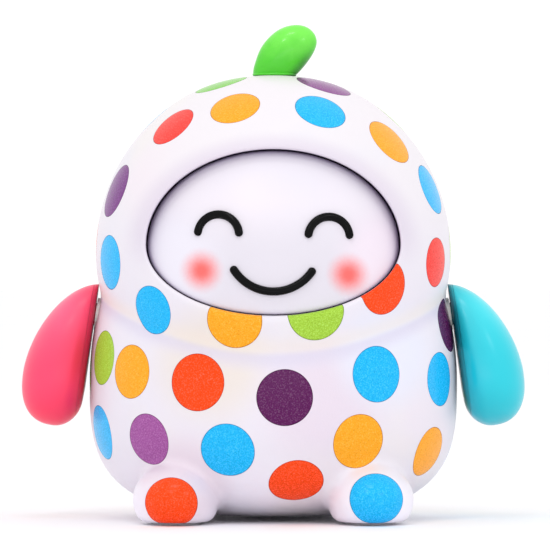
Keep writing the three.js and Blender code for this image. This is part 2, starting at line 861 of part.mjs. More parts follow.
function batteryBox() {
  const outerX = boxHalfInnerX + boxWall;
  const outerZ = boxHalfInnerZ + boxWall;
  const tray = box(-outerX, outerX, boxFrontY, boxRearY, batteryZ - outerZ, batteryZ + outerZ);
  const bay = box(
    -boxHalfInnerX, boxHalfInnerX, boxInnerFrontY, boxRearY + 1,
    batteryZ - boxHalfInnerZ, batteryZ + boxHalfInnerZ,
  );
  const ridges = cellZs.slice(1).map((z) => {
    const z0 = z - cellPitch / 2 - ridgeThickness / 2;
    const y1 = boxInnerFrontY + ridgeHeight;
    return box(-ridgeHalfLength, ridgeHalfLength, boxInnerFrontY - 0.5, y1, z0, z0 + ridgeThickness);
  });
  const posts = boardPosts.map(({ x, z }) => (
    rodAlongY(boardPostRadius, x, z, boxFrontY - boardStandoff, boxFrontY + 0.5, 12)
  ));
  const ears = earPlaces.map(({ side, z }) => {
    const span = [side * (outerX - 0.5), side * earReachX].sort((a, b) => a - b);
    return box(span[0], span[1], earY, earY + earThickness, z - earHalfHeight, z + earHalfHeight);
  });
  const pinHoles = earPlaces.map(({ side, z }) => (
    rodAlongY(earPinRadius + fitGap, side * earPinX, z, earY - 1, earY + earThickness + 1, 8)
  ));
  const pilots = boardScrews.map(({ post }) => (
    rodAlongY(boardScrewRadius + screwGap, post.x, post.z, boxFrontY - boardStandoff - 1, boxFrontY + 0.6, 10)
  ));
  return cutFrom(joined(tray.subtract(bay), ...ridges, ...posts, ...ears), ...pinHoles, ...pilots);
}

// Posts of the rear shell, each with a pin through an ear and a staked head
function earPost({ side, z }) {
  const x = side * earPinX;
  const shoulderY = earY + earThickness + fitGap;
  const headY = earY - fitGap;
  return joined(
    rodAlongY(earPostRadius, x, z, shoulderY, far, 8).intersect(midBody),
    rodAlongY(earPinRadius, x, z, headY - stakeHeadHeight, shoulderY + 1, 8),
    rodAlongY(earPinRadius + 1, x, z, headY - stakeHeadHeight, headY, 8),
  );
}

function cellSolid(index) {
  const positive = index % 2 === 0 ? -1 : 1;
  const z = cellZs[index];
  const end = cellLength / 2;
  return joined(
    rod(cellRadius, point(-end, batteryY, z), point(end, batteryY, z), 24),
    rod(cellNubRadius, point(0, batteryY, z), point(positive * (end + cellNubLength), batteryY, z), 12),
  );
}

// One contact plate at an end of the box, with a button or a spring for each cell that it serves
function contactSolid(side, cells) {
  const innerX = boxHalfInnerX - fitGap - contactThickness;
  const outerX = boxHalfInnerX - fitGap;
  const span = [side * innerX, side * outerX].sort((a, b) => a - b);
  const zs = cells.map((index) => cellZs[index]);
  const plate = box(
    span[0], span[1], batteryY - contactHalfWidth, batteryY + contactHalfWidth,
    Math.min(...zs) - contactHalfWidth, Math.max(...zs) + contactHalfWidth,
  );
  const touches = cells.map((index) => {
    const z = cellZs[index];
    const positive = index % 2 === 0 ? -1 : 1;
    if (positive === side) {
      const nubX = cellLength / 2 + cellNubLength + fitGap;
      const nub = point(side * nubX, batteryY, z);
      return rod(contactHalfWidth / 2, nub, point(side * outerX, batteryY, z), 12);
    }
    const nearX = cellLength / 2 + fitGap + contactSpringWire;
    const springLength = innerX + contactSpringWire / 2 - nearX;
    const spring = helixPoints(
      contactSpringRadius / 2, contactSpringRadius, springLength, contactSpringTurns, 8,
    ).map((p) => point(side * (nearX + p.z), batteryY + p.x, z + p.y));
    return tube(spring, contactSpringWire, contactSpringTurns * 8, 5);
  });
  return joined(plate, ...touches);
}

// Battery door, its opening and its seat
function doorShape(offset) {
  const halfX = doorHalfWidth + offset;
  const halfZ = doorHalfHeight + offset;
  const corner = doorCorner + offset;
  const shape = new THREE.Shape();
  shape.moveTo(halfX, batteryZ - halfZ + corner);
  shape.absarc(halfX - corner, batteryZ + halfZ - corner, corner, 0, Math.PI / 2);
  shape.absarc(-halfX + corner, batteryZ + halfZ - corner, corner, Math.PI / 2, Math.PI);
  shape.absarc(-halfX + corner, batteryZ - halfZ + corner, corner, Math.PI, 1.5 * Math.PI);
  shape.absarc(halfX - corner, batteryZ - halfZ + corner, corner, 1.5 * Math.PI, 2 * Math.PI);
  return shape;
}

function doorPrism(offset) {
  return prismAlongY(doorShape(offset), 20, far);
}

const doorBacking = doorWall + fitGap;
const doorSkinY = trunkPoint(point(0, 1, 0), 0, point(doorScrewX, 0, batteryZ)).y;
const doorScrewHeadY = doorSkinY - doorScrewInset;
const doorScrewSeatY = doorScrewHeadY - screwHeadHeight;
const doorBossY = doorScrewSeatY - fitGap - doorBossDepth;
const doorPostRadius = doorScrewRadius + screwGap + bossWall;
const seatBody = bodySolid(doorBacking, liningColumns, liningRows);
const seatLining = bodySolid(doorBacking + doorSeatWall, liningColumns, liningRows);

function doorSeat() {
  const ring = seatBody.subtract(seatLining)
    .intersect(doorPrism(doorSeatRim))
    .subtract(doorPrism(-doorSeatRim));
  const postTopY = doorBossY - fitGap;
  const postY = postTopY - doorPostHeight;
  const posts = [-1, 1].flatMap((side) => {
    const span = [side * doorScrewX, side * (doorHalfWidth - doorSeatRim / 2)].sort((a, b) => a - b);
    return [
      rodAlongY(doorPostRadius, side * doorScrewX, batteryZ, postY, postTopY),
      box(span[0], span[1], postY, postTopY - 1, batteryZ - doorPostRadius, batteryZ + doorPostRadius),
    ];
  });
  return joined(ring, ...posts);
}

function batteryDoor() {
  const lining = bodySolid(doorWall, liningColumns, liningRows);
  const skin = outerBody.subtract(lining).intersect(doorPrism(-fitGap));
  const doorSinkRadius = shellScrewHeadRadius + fitGap;
  const bosses = [-1, 1].map((side) => (
    rodAlongY(doorSinkRadius + 1, side * doorScrewX, batteryZ, doorBossY, far).intersect(outerBody)
  ));
  const holes = [-1, 1].flatMap((side) => [
    rodAlongY(doorScrewRadius + screwGap, side * doorScrewX, batteryZ, doorBossY - 1, far),
    rodAlongY(doorSinkRadius, side * doorScrewX, batteryZ, doorScrewSeatY - fitGap, far),
  ]);
  return cutFrom(joined(skin, ...bosses), ...holes);
}

// Shell screw bosses
const shellScrewPlaces = [
  { name: 'shell_screw_lower_left', x: -lowerScrewX, z: lowerScrewZ },
  { name: 'shell_screw_lower_right', x: lowerScrewX, z: lowerScrewZ },
  { name: 'shell_screw_upper_left', x: -upperScrewX, z: upperScrewZ },
  { name: 'shell_screw_upper_right', x: upperScrewX, z: upperScrewZ },
  { name: 'shell_screw_bottom', x: 0, z: bottomScrewZ },
];
const sinkRadius = shellScrewHeadRadius + sinkGap;
const pilotRadius = shellScrewRadius + screwGap;
const pilotTipY = shellScrewSeatY - shellScrewLength - 2;

// Foot pads in shallow pockets of the soles
const padPlaces = [-1, 1].flatMap((side) => {
  const sideName = side < 0 ? 'left' : 'right';
  const toe = { x: side * toeX, y: toeY, halfWidth: toePadHalfWidth, halfLength: toePadHalfLength };
  const heel = { x: side * heelX, y: heelY, halfWidth: heelPadHalfWidth, halfLength: heelPadHalfLength };
  return [
    { name: `foot_pad_front_${sideName}`, ...toe },
    { name: `foot_pad_rear_${sideName}`, ...heel },
  ];
});

function padSolid({ x, y, halfWidth, halfLength }, growth, z0, z1) {
  return ellipseColumn(x, y, halfWidth + growth, halfLength + growth, z0, z1, 16);
}

const padPockets = padPlaces.map((pad) => padSolid(pad, fitGap, -1, padThickness + fitGap));
const leafHole = ellipseColumn(leafHoleX, 0, leafHoleHalfWidth, leafHoleHalfDepth, hoodZ, 2 * far, 28);
const bushHoles = [-1, 1].map((side) => onSide(joined(
  rodAlongU(bushRadius + fitGap, 2 * bushInnerU, wingThickness),
  rodAlongU(bushFlangeRadius + fitGap, 2 * bushInnerU, bushSeatU),
), side));
const bearingBosses = [-1, 1].map((side) => (
  onSide(rodAlongU(bushFlangeRadius + bearingBossRim, bushSeatU, wingThickness), side)
));

// The face collar: a wall that runs in from the rim of the opening to the panel's seat
function faceCollar() {
  const wall = facePrism(shellWall, -far, faceSeatY).subtract(facePrism(0, -far - 1, faceSeatY + 1));
  const stakes = stakePlaces.map(({ x, z }) => {
    const headY = brimRearY + fitGap;
    return joined(
      rodAlongY(stakeRadius, x, z, faceSeatY - 2, headY + stakeHeadHeight, 8),
      rodAlongY(stakeHeadRadius, x, z, headY, headY + stakeHeadHeight, 8),
    );
  });
  return joined(wall.intersect(midBody), ...stakes);
}

function frontShell() {
  const skin = outerBody.subtract(liningBody);
  const bosses = shellScrewPlaces.map(({ x, z }) => (
    rodAlongY(pilotRadius + frontBossWall, x, z, -far, 0)
  ));
  const inner = joined(...bosses, ...bearingBosses).intersect(midBody);
  const pilots = shellScrewPlaces.map(({ x, z }) => rodAlongY(pilotRadius, x, z, pilotTipY, 1, 12));
  const half = joined(skin, inner).intersect(frontSpace);
  const opening = facePrism(0, -2 * far, faceSeatY);
  const framed = joined(half.subtract(opening), faceCollar());
  return cutFrom(framed, ...pilots, ...bushHoles, leafHole, ...padPockets);
}

const speakerEarXs = [-speakerEarX, speakerEarX];

function speakerSlots() {
  return Array.from({ length: slotCount }, (_, index) => {
    const step = index - (slotCount - 1) / 2;
    const half = slotLongest - Math.abs(step) * 2;
    const z = speakerZ + step * slotPitch;
    const shape = new THREE.Shape();
    shape.moveTo(half, z - slotHalfHeight);
    shape.absarc(half, z, slotHalfHeight, -Math.PI / 2, Math.PI / 2);
    shape.absarc(-half, z, slotHalfHeight, Math.PI / 2, 1.5 * Math.PI);
    return prismAlongY(shape, speakerSeatY - 1, far);
  });
}

function switchMount() {
  const rails = [-1, 1].map((side) => {
    const near = switchHalfWidth + fitGap;
    const span = [side * near, side * (near + railWidth)].sort((a, b) => a - b);
    const z0 = switchZ - switchHalfHeight;
    return box(span[0], span[1], switchFrontY, far, z0, switchZ + switchHalfHeight);
  });
  return joined(...rails);
}

function rearShell() {
  const skin = outerBody.subtract(liningBody);
  const bosses = shellScrewPlaces.map(({ x, z }) => rodAlongY(sinkRadius + bossWall, x, z, 0, far));
  const ringBore = speakerRadius - speakerRingWall / 2;
  const speakerRing = tubeAlongY(
    ringBore + speakerRingWall, ringBore, 0, speakerZ, speakerSeatY, far, 20,
  );
  const speakerBosses = speakerEarXs.map((x) => (
    rodAlongY(speakerEarRadius, x, speakerZ, speakerSeatY, far, 12)
  ));
  const inner = joined(...bosses, ...bearingBosses, speakerRing, ...speakerBosses, switchMount())
    .intersect(midBody);
  const half = joined(skin, inner).intersect(rearSpace);
  const sinks = shellScrewPlaces.map(({ x, z }) => rodAlongY(sinkRadius, x, z, shellScrewSeatY, far));
  const holes = shellScrewPlaces.map(({ x, z }) => rodAlongY(pilotRadius, x, z, -1, far, 12));
  const speakerPilotY = speakerSeatY + boardScrewLength + 1;
  const speakerPilots = speakerEarXs.map((x) => (
    rodAlongY(speakerScrewRadius + screwGap, x, speakerZ, speakerSeatY - 1, speakerPilotY, 10)
  ));
  const doorPilots = [-1, 1].map((side) => (
    rodAlongY(doorScrewRadius + screwGap, side * doorScrewX, batteryZ, 0, doorBossY + 1)
  ));
  const slotHalfX = switchTravel / 2 + knobHalfWidth + fitGap;
  const slotHalfZ = knobHalfHeight + fitGap;
  const switchSlot = box(-slotHalfX, slotHalfX, switchRearY, far, switchZ - slotHalfZ, switchZ + slotHalfZ);
  const opened = cutFrom(half, doorPrism(0));
  const held = joined(opened, doorSeat(), shelfSolid(), ...earPlaces.map(earPost));
  return cutFrom(
    held, ...sinks, ...holes, ...speakerSlots(), ...speakerPilots, ...doorPilots, switchSlot,
    ...bushHoles, leafHole, ...padPockets,
  );
}

// Loudspeaker: a basket with two ears, a paper cone and a magnet
const basketRimY = speakerSeatY - fitGap;
const basketBackY = basketRimY - speakerDepth;

// A closed profile of radius and height turned round a Y axis through the loudspeaker's centre
function turnedAlongY(profile, sides) {
  const outline = profile.map(([radius, height]) => new THREE.Vector2(radius, height));
  const geometry = new THREE.LatheGeometry(outline, sides);
  geometry.translate(0, 0, speakerZ);
  return solidOf(geometry);
}

function speakerFrame() {
  const inner = speakerWall;
  const basket = turnedAlongY([
    [speakerNeckRadius, basketBackY],
    [speakerNeckRadius + inner, basketBackY],
    [speakerBore + inner, basketRimY - speakerRim],
    [speakerRadius, basketRimY - speakerRim],
    [speakerRadius, basketRimY],
    [speakerBore, basketRimY],
    [speakerNeckRadius, basketBackY + inner],
    [speakerNeckRadius, basketBackY],
  ], 20);
  const earY0 = basketRimY - speakerRim;
  const ears = speakerEarXs.map((x) => {
    const root = Math.sign(x) * (speakerBore + 2);
    return joined(
      rodAlongY(speakerEarRadius, x, speakerZ, earY0, basketRimY, 14),
      box(
        Math.min(x, root), Math.max(x, root),
        earY0, basketRimY, speakerZ - speakerEarRadius, speakerZ + speakerEarRadius,
      ),
    );
  });
  const holes = speakerEarXs.map((x) => (
    rodAlongY(speakerScrewRadius + screwGap, x, speakerZ, basketRimY - 4, basketRimY + 1, 10)
  ));
  return cutFrom(joined(basket, ...ears), ...holes);
}

function speakerCone() {
  const paper = 0.5;
  const capHeight = 1.6;
  const neck = speakerNeckRadius + fitGap;
  const rim = speakerBore - 5 * fitGap;
  const backY = basketBackY + speakerWall + 2 * fitGap;
  const frontY = basketRimY - fitGap;
  return turnedAlongY([
    [0, backY + capHeight],
    [neck - 2, backY + paper],
    [neck - 1, backY],
    [rim, frontY - paper],
    [rim, frontY],
    [neck - 1, backY + 2 * paper],
    [0, backY + capHeight + paper],
  ], 20);
}

function slideKnob() {
  const restX = -switchTravel / 2;
  const frontY = switchRearY - knobDepth;
  return box(
    restX - knobHalfWidth, restX + knobHalfWidth, frontY, knobRearY,
    switchZ - knobHalfHeight, switchZ + knobHalfHeight,
  );
}

function switchHousing() {
  const slotHalfX = switchTravel / 2 + knobHalfWidth + fitGap;
  const slotHalfZ = knobHalfHeight + fitGap;
  return box(
    -switchHalfWidth, switchHalfWidth, switchFrontY, switchRearY - fitGap,
    switchZ - switchHalfHeight, switchZ + switchHalfHeight,
  ).subtract(box(
    -slotHalfX, slotHalfX, switchRearY - knobDepth - fitGap, far, switchZ - slotHalfZ, switchZ + slotHalfZ,
  ));
}

// Main board and what it carries
const socketTopZ = batteryZ + boardHalfHeight - 2;
const socketFrontY = boardFrontY - fitGap - socketDepth;

function mainBoard() {
  const plate = box(
    -boardHalfWidth, boardHalfWidth, boardFrontY, boardRearY,
    batteryZ - boardHalfHeight, batteryZ + boardHalfHeight,
  );
  const holes = boardScrews.map(({ post }) => (
    rodAlongY(boardScrewRadius + screwGap, post.x, post.z, boardFrontY - 1, boardRearY + 1, 10)
  ));
  return cutFrom(plate, ...holes);
}

// Leads run from their piece to the socket, each ending just above it
const leadY = socketFrontY + socketDepth / 2;
const leadBendY = leadY + leadBendBack;
const boxTopZ = batteryZ + boxHalfInnerZ + boxWall;

function leadSolid(slot, points, steps) {
  const x = socketX + (slot - 1.5) * leadPitch;
  const end = [point(x, leadY, socketTopZ + leadDrop), point(x, leadY, socketTopZ + fitGap)];
  return tube([...points, ...end], leadRadius, steps);
}

function leafLead() {
  const startX = leafStemX + leafBoardHalfLength + leadGap;
  const bendX = startX + leafLeadSwing;
  const startZ = leafBoardZ - boardThickness / 2;
  const midY = (leafLeadY + leadY) / 2;
  return leadSolid(3, [
    point(startX, leafLeadY, startZ),
    point(bendX, leafLeadY, startZ - leadGap),
    point(bendX + leafLeadSwing, midY, (startZ + speakerZ) / 2),
    point(bendX, leadY - leadStep, speakerZ - magnetRadius),
    point(bendX - leafLeadSwing, leadY, switchZ + leafLeadSwing),
  ], 20);
}

const leads = {
  speaker_lead: leadSolid(0, [
    point(speakerLeadX, basketRimY - leadStep, speakerZ - speakerRadius - speakerRim),
    point(speakerLeadX, basketRimY - 2 * leadStep, switchZ + switchHalfHeight + leadStep),
    point(speakerLeadX, leadBendY, switchZ - leadGap),
  ], 14),
  switch_lead: leadSolid(1, [
    point(switchLeadX, switchFrontY - leadGap, switchZ),
    point(switchLeadX, switchFrontY - leadGap - 2 * leadStep, switchZ),
    point(switchLeadX, leadBendY + leadStep, switchZ - 2 * leadStep),
  ], 12),
  battery_lead: leadSolid(2, [
    point(batteryLeadX, batteryY, boxTopZ + leadGap),
    point(batteryLeadX, batteryY - leadStep, boxTopZ + leadGap + leadStep),
    point(batteryLeadX, leadBendY, boxTopZ + leadGap + 2 * leadStep),
  ], 10),
  leaf_lead: leafLead(),
};

// Materials
function plastic(color, roughness) {
  return new THREE.MeshStandardMaterial({ color, roughness, metalness: 0 });
}

function metal(color, roughness) {
  return new THREE.MeshStandardMaterial({ color, roughness, metalness: 1 });
}

const pearlWhite = plastic(0xf3eef7, 0.32);
const faceWhite = plastic(0xf4f1fa, 0.36);
const glossBlack = plastic(0x141214, 0.25);
const wingPink = plastic(0xf84374, 0.38);
const wingTeal = plastic(0x33cddb, 0.36);
const leafGreen = plastic(0x6fd94a, 0.22);
const padRubber = plastic(0xd9d5dc, 0.85);
const boxPlastic = plastic(0x2b2b30, 0.6);
const boardGreen = plastic(0x1f6b43, 0.5);
const chipBlack = plastic(0x17171a, 0.45);
const socketIvory = plastic(0xe9e2cf, 0.5);
const acetal = plastic(0xe6e6e2, 0.35);
const cellJacket = plastic(0x3d4248, 0.35);
const paperCone = plastic(0x26241f, 0.9);
const leadRed = plastic(0xb3242b, 0.5);
const steel = metal(0xb9bcc2, 0.3);
const springSteel = metal(0xc9ccd2, 0.25);

const group = new THREE.Group();

function place(name, solid, material, parent = group) {
  const mesh = new THREE.Mesh(geometryOf(solid), material);
  mesh.name = name;
  parent.add(mesh);
}

place('front_shell', frontShell(), pearlWhite);
place('rear_shell', rearShell(), pearlWhite);
place('face_panel', facePanel(), faceWhite);
faceBars.forEach(({ name, arc }) => {
  const bar = joined(tube(arc, barRadius, 9, 8, true), pegRod(arc, pegRadius, faceWall + 1.6));
  place(name, bar, glossBlack);
});
padPlaces.forEach((pad) => place(pad.name, padSolid(pad, 0, 0, padThickness), padRubber));
shellScrewPlaces.forEach(({ name, x, z }) => place(name, screw(
  point(x, shellScrewSeatY + fitGap, z), point(0, -1, 0),
  shellScrewRadius, shellScrewHeadRadius, shellScrewLength,
), steel));

place('leaf', leafSolid(), leafGreen);
place('leaf_plunger', plungerSolid(), acetal);
place('leaf_spring', leafSpringSolid(), springSteel);
place('leaf_switch', leafSwitchSolid(), chipBlack);
place('leaf_switch_board', leafBoardSolid(), boardGreen);
leafBoardScrewPlaces.forEach((x, index) => place(`leaf_board_screw_${index + 1}`, screw(
  point(x, 0, leafBoardZ + fitGap), point(0, 0, -1),
  boardScrewRadius, boardScrewHeadRadius, boardScrewLength,
), steel));

place('battery_box', batteryBox(), boxPlastic);
cellZs.forEach((_, index) => place(`battery_${index + 1}`, cellSolid(index), cellJacket));
place('battery_terminal_positive', contactSolid(-1, [0]), springSteel);
place('battery_bridge_left', contactSolid(-1, [1, 2]), springSteel);
place('battery_bridge_right', contactSolid(1, [0, 1]), springSteel);
place('battery_terminal_negative', contactSolid(1, [2]), springSteel);
place('battery_door', batteryDoor(), pearlWhite);
['left', 'right'].forEach((sideName, index) => place(`door_screw_${sideName}`, screw(
  point((2 * index - 1) * doorScrewX, doorScrewSeatY, batteryZ), point(0, -1, 0),
  doorScrewRadius, shellScrewHeadRadius, doorScrewLength,
), steel));

place('main_board', mainBoard(), boardGreen);
boardScrews.forEach(({ name, post }) => place(name, screw(
  point(post.x, boardFrontY - fitGap, post.z), point(0, 1, 0),
  boardScrewRadius, boardScrewHeadRadius, boardScrewLength,
), steel));
place('sound_chip', box(
  chipX - chipHalfWidth, chipX + chipHalfWidth, boardFrontY - fitGap - chipHeight, boardFrontY - fitGap,
  batteryZ - chipHalfHeight, batteryZ + chipHalfHeight,
), chipBlack);
place('capacitor', rodAlongY(
  capacitorRadius, capacitorX, capacitorZ, boardFrontY - fitGap - capacitorHeight, boardFrontY - fitGap,
), chipBlack);
place('wire_socket', box(
  socketX - socketHalfWidth, socketX + socketHalfWidth, socketFrontY, boardFrontY - fitGap,
  socketTopZ - socketHeight, socketTopZ,
), socketIvory);

place('speaker_frame', speakerFrame(), steel);
place('speaker_cone', speakerCone(), paperCone);
place('speaker_magnet', rodAlongY(
  magnetRadius, 0, speakerZ, basketBackY - fitGap - magnetHeight, basketBackY - fitGap, 24,
), steel);
['left', 'right'].forEach((sideName, index) => place(`speaker_screw_${sideName}`, screw(
  point(speakerEarXs[index], basketRimY - speakerRim - fitGap, speakerZ), point(0, 1, 0),
  speakerScrewRadius, speakerScrewHeadRadius, boardScrewLength,
), steel));
place('switch_housing', switchHousing(), chipBlack);
place('switch_knob', slideKnob(), glossBlack);
Object.entries(leads).forEach(([name, solid]) => place(name, solid, leadRed));

// Each wing hangs in a group of its own, turned to its side of the body
const wings = [
  { side: -1, colour: 'pink', skin: wingPink },
  { side: 1, colour: 'teal', skin: wingTeal },
];
wings.forEach((wing) => {
  const hung = new THREE.Group();
  hung.applyMatrix4(wingMatrix(wing.side));
  group.add(hung);
  place(`${wing.colour}_wing_shell`, wingSolids.shell, wing.skin, hung);
  place(`${wing.colour}_wing_plate`, wingSolids.plate, wing.skin, hung);
  place(`${wing.colour}_wing_bush`, wingSolids.bush, acetal, hung);
  place(`${wing.colour}_wing_washer`, wingSolids.washer, steel, hung);
  place(`${wing.colour}_wing_screw`, wingSolids.screw, steel, hung);
});

export default group;
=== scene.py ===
"""A round musical toy figure in a polka-dot suit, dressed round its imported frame.

Sizes are in millimetres, in the frame's own axes: +Z up, the face looks along -Y and +X is to the
right of the picture. Points become metres where a mesh is made.
"""
import json
import math

import bpy
import numpy as np
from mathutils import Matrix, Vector


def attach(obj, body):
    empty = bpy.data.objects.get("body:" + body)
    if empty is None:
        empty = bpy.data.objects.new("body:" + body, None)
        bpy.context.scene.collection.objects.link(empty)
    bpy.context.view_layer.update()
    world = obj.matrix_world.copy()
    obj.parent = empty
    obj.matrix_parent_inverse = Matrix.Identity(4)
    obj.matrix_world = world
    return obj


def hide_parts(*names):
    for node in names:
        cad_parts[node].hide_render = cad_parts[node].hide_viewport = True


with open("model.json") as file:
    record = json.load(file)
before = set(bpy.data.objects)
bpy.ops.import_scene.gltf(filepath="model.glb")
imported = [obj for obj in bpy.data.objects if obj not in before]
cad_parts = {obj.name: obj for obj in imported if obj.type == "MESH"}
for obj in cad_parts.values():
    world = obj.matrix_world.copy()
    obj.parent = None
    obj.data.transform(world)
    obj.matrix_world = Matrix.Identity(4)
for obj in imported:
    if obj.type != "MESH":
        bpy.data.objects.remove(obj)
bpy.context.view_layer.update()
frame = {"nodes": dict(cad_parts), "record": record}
NODES = frame["nodes"]
MM = 0.001
SHARP_ANGLE = math.radians(40.0)

# Camera: level, in front, at the height of the photograph's middle
CAMERA_PLACE = (0.68, -2000.0, 97.25)
PICTURE_WIDTH = 220.0

# Belly and hood
BELLY_Y = 2.5
BELLY_Z = 55.25
BELLY_HALF_WIDTH = 73.5
BELLY_HALF_DEPTH = 71.98
BELLY_RISE = 93.0
BELLY_DROP = 54.0
BELLY_SQUARENESS = 3.2
HOOD_Y = -3.5
HOOD_Z = 105.65
HOOD_HALF_WIDTH = 70.8
HOOD_HALF_DEPTH = 72.95
HOOD_RISE = 72.5
HOOD_DROP = 65.0
CHIN_CURVE_RADIUS = 100.0
CROWN_SINK = 1.4
CROWN_REACH = 22.0
NECK_BLEND = 2.0

# Feet: place and half sizes of each toe and heel, on either side
TOE = ((38.0, -47.5, 9.6), (16.8, 23.0, 14.6))
HEEL = ((36.0, 39.5, 8.0), (15.0, 19.0, 12.5))
FOOT_BLEND = 4.5
SOLE_Z = 0.5
SOLE_ROUND = 3.0

# Cut below the soles, and how near the skin or the sole a point lies that moves onto the fillet
BELOW_SOLE_RADIUS = 60.0
BELOW_SOLE_Z = -40.0
ON_SKIN = 0.06
ON_SOLE = 0.01

# Foot pads: half width and half length of each kind, its profile as share of those and height, its pocket
TOE_PAD = (9.5, 13.0)
HEEL_PAD = (8.0, 9.5)
PAD_PROFILE = [
    (0.5, 1.3), (1.0, 1.3), (1.0, 0.4), (0.985, 0.12), (0.94, 0.0), (0.7, 0.0), (0.66, 0.1), (0.3, 0.1),
]
PAD_POCKET_HEIGHTS = (-2.0, 1.6)

# Shell
SHELL_WALL = 2.4
PARTING_GAP = 0.3
PARTING_ROUND = 0.4
FIT_GAP = 0.3
RAY_CORE = np.array([0.0, 0.0, 52.0])
RAY_REACH = 160.0
INNER_SKIN_END = 4.0

# Grids of the shells; in radians, how far the front's side columns lean down at the rim, up at the parting
FRONT_COLUMNS, FRONT_ROWS, FRONT_INNER_ROWS = 390, 160, 14
REAR_COLUMNS, REAR_ROWS, REAR_INNER_ROWS = 400, 150, 20
RIM_LEAN = 0.3
PARTING_LEAN = 0.62

# Holes that are cut from behind: screws at places across and up, loudspeaker slots, and the switch's slot
BEHIND_Y = 90.0
SHELL_SCREWS = [(-52.0, 46.0), (52.0, 46.0), (-40.0, 146.0), (40.0, 146.0), (0.0, 12.5)]
SHELL_SCREW_RADIUS = 3.3
SHELL_SCREW_START = 6.0
SOUND_SLOT_START = 50.0
SOUND_SLOT_Z = 118.0
SOUND_SLOT_PITCH = 5.0
SOUND_SLOT_LENGTH = 15.1
SOUND_SLOT_HEIGHT = 1.1
SOUND_SLOT_SHORTENING = 2.0
SWITCH_SLOT_START = 60.0
SWITCH_SLOT_Z = 86.0
SWITCH_SLOT_LENGTH = 6.3
SWITCH_SLOT_HEIGHT = 2.1

# Face opening and the domed face behind it
FACE_HALF_WIDTH = 49.6
FACE_Z = 109.0
FACE_RISE = 37.1
FACE_DROP = 27.4
FACE_SEAT_Y = -43.5
FACE_WALL = 2.2
RIM_ROUND = 2.6
DOME_Y = -7.0
DOME_Z = 94.65
DOME_HALF_WIDTH = 66.0
DOME_HALF_DEPTH = 66.0
DOME_HALF_HEIGHT = 80.0
EYE_X = 21.4
EYE_Z = 112.25
EYE_DROOP = 8.0
EYE_ARC_RADIUS = 8.0
SMILE_Z = 109.1
SMILE_ARC_RADIUS = 18.2
SMILE_HALF_ANGLE = 56.0
FACE_TILT = math.radians(1.2)
FACE_TILT_Z = 105.0
BAR_RADIUS = 1.6
BAR_DEPTH_SHARE = 0.77
BAR_PROUD = 0.35
GROOVE_GAP = 0.05
CHEEK_X = 28.4
CHEEK_SHIFT = 0.7
CHEEK_Z = 98.15
CHEEK_SLOPE = 0.026
CHEEK_CORE = 0.8
CHEEK_FADE = 9.8
FACE_TOP_GAP = 0.48
FACE_GAP_SPREAD = 1.4
FACE_EDGE_ROUND = 2.2
FACE_EDGE_DEPTH = 2.0

# Battery door
DOOR_Z = 46.0
DOOR_HALF_WIDTH = 39.0
DOOR_HALF_HEIGHT = 24.5
DOOR_SQUARENESS = 9.0
DOOR_WALL = 1.6
DOOR_SEAT_RIM = 2.5
DOOR_SEAT_WALL = 2.3
DOOR_SEAT_BACK = 1.0
DOOR_RIM_SHARE = 0.3
DOOR_EDGE_ROUND = 0.6
DOOR_EDGE_SHARE = 0.35
DOOR_SCREW_X = 31.5
DOOR_SCREW_RADIUS = 3.1
DOOR_SCREW_START = 50.0

# Leaf
LEAF_MIDDLE = (4.6, 186.8)
LEAF_HALF_DEPTH = 7.0
LEAF_OUTLINE = [
    (-8.1, 177.7), (-6.8, 183.7), (-4.4, 189.0), (-0.2, 193.7), (4.4, 196.4),
    (9.4, 197.3), (13.4, 196.4), (16.3, 193.9), (17.4, 190.4), (16.2, 186.4),
    (13.3, 181.9), (9.8, 177.9), (5.0, 173.5), (-0.5, 171.5), (-6.0, 173.0),
]
LEAF_BASE_Z = 177.7
BELOW_LEAF_RADIUS = 40.0
BELOW_LEAF_Z = 100.0
LEAF_LIP_X = 0.5
LEAF_LIP_NARROWING = 2.3
LEAF_LIP_PROFILE = [(8.55, 176.9), (8.8, 177.1), (8.85, 177.4), (8.8, 177.7), (8.55, 177.95)]
LEAF_STEM_X = 0.6
LEAF_STEM_HALF = (8.3, 5.6)
LEAF_STEM_HEIGHTS = (172.0, 177.3)
LEAF_HOLE_X = 1.2
LEAF_HOLE_HALF = (10.1, 7.0)
LEAF_HOLE_HEIGHTS = (165.0, 190.0)

# Wings, in wing space: U outward, V backward, W up from the pivot
WING_PIVOT = (70.6, 0.0, 81.65)
WING_TILT = math.radians(8.0)
WING_TOP_W = 12.0
WING_BULGE_W = -27.0
WING_BOTTOM_W = -46.5
WING_THICKNESS = 25.92
WING_HALF_BREADTH = 19.0
WING_LEAST_BREADTH = 0.02
WING_TAPER = 1.75
WING_ROUNDNESS = 2.4
WING_HEEL_U = 11.4
WING_HEEL_W = -34.5
WING_HEEL_LEAD = 6.0
WING_FULLNESS = 2.3
WING_KEEL_SHARE = 0.35
WING_INNER_U = 0.8
WING_SEAM_U = 2.55
WING_SEAM_GAP = 0.12
WING_COLUMNS, WING_ROWS = 112, 110
HUB_RADIUS = 4.5
HUB_END_U = -6.1
HUB_OVERLAP = 0.3
CLEAR_OF_WING = 60.0

# Painted light and shade of the wings: slope and place across of the edge by the body, and how far out its
# two tones of painted shade reach
WING_EDGE_SLOPE = 0.136
WING_EDGE_X = 82.6
WING_EDGE_SHADOW_REACH = 2.6
WING_SHADE_REACH = 14.0

# Holes for the wings' bushes: radius, and place across and up of the two ends
BUSH_HOLE_RADIUS = 6.8
BUSH_HOLE_ENDS = ((60.0, 80.2), (80.0, 83.0))

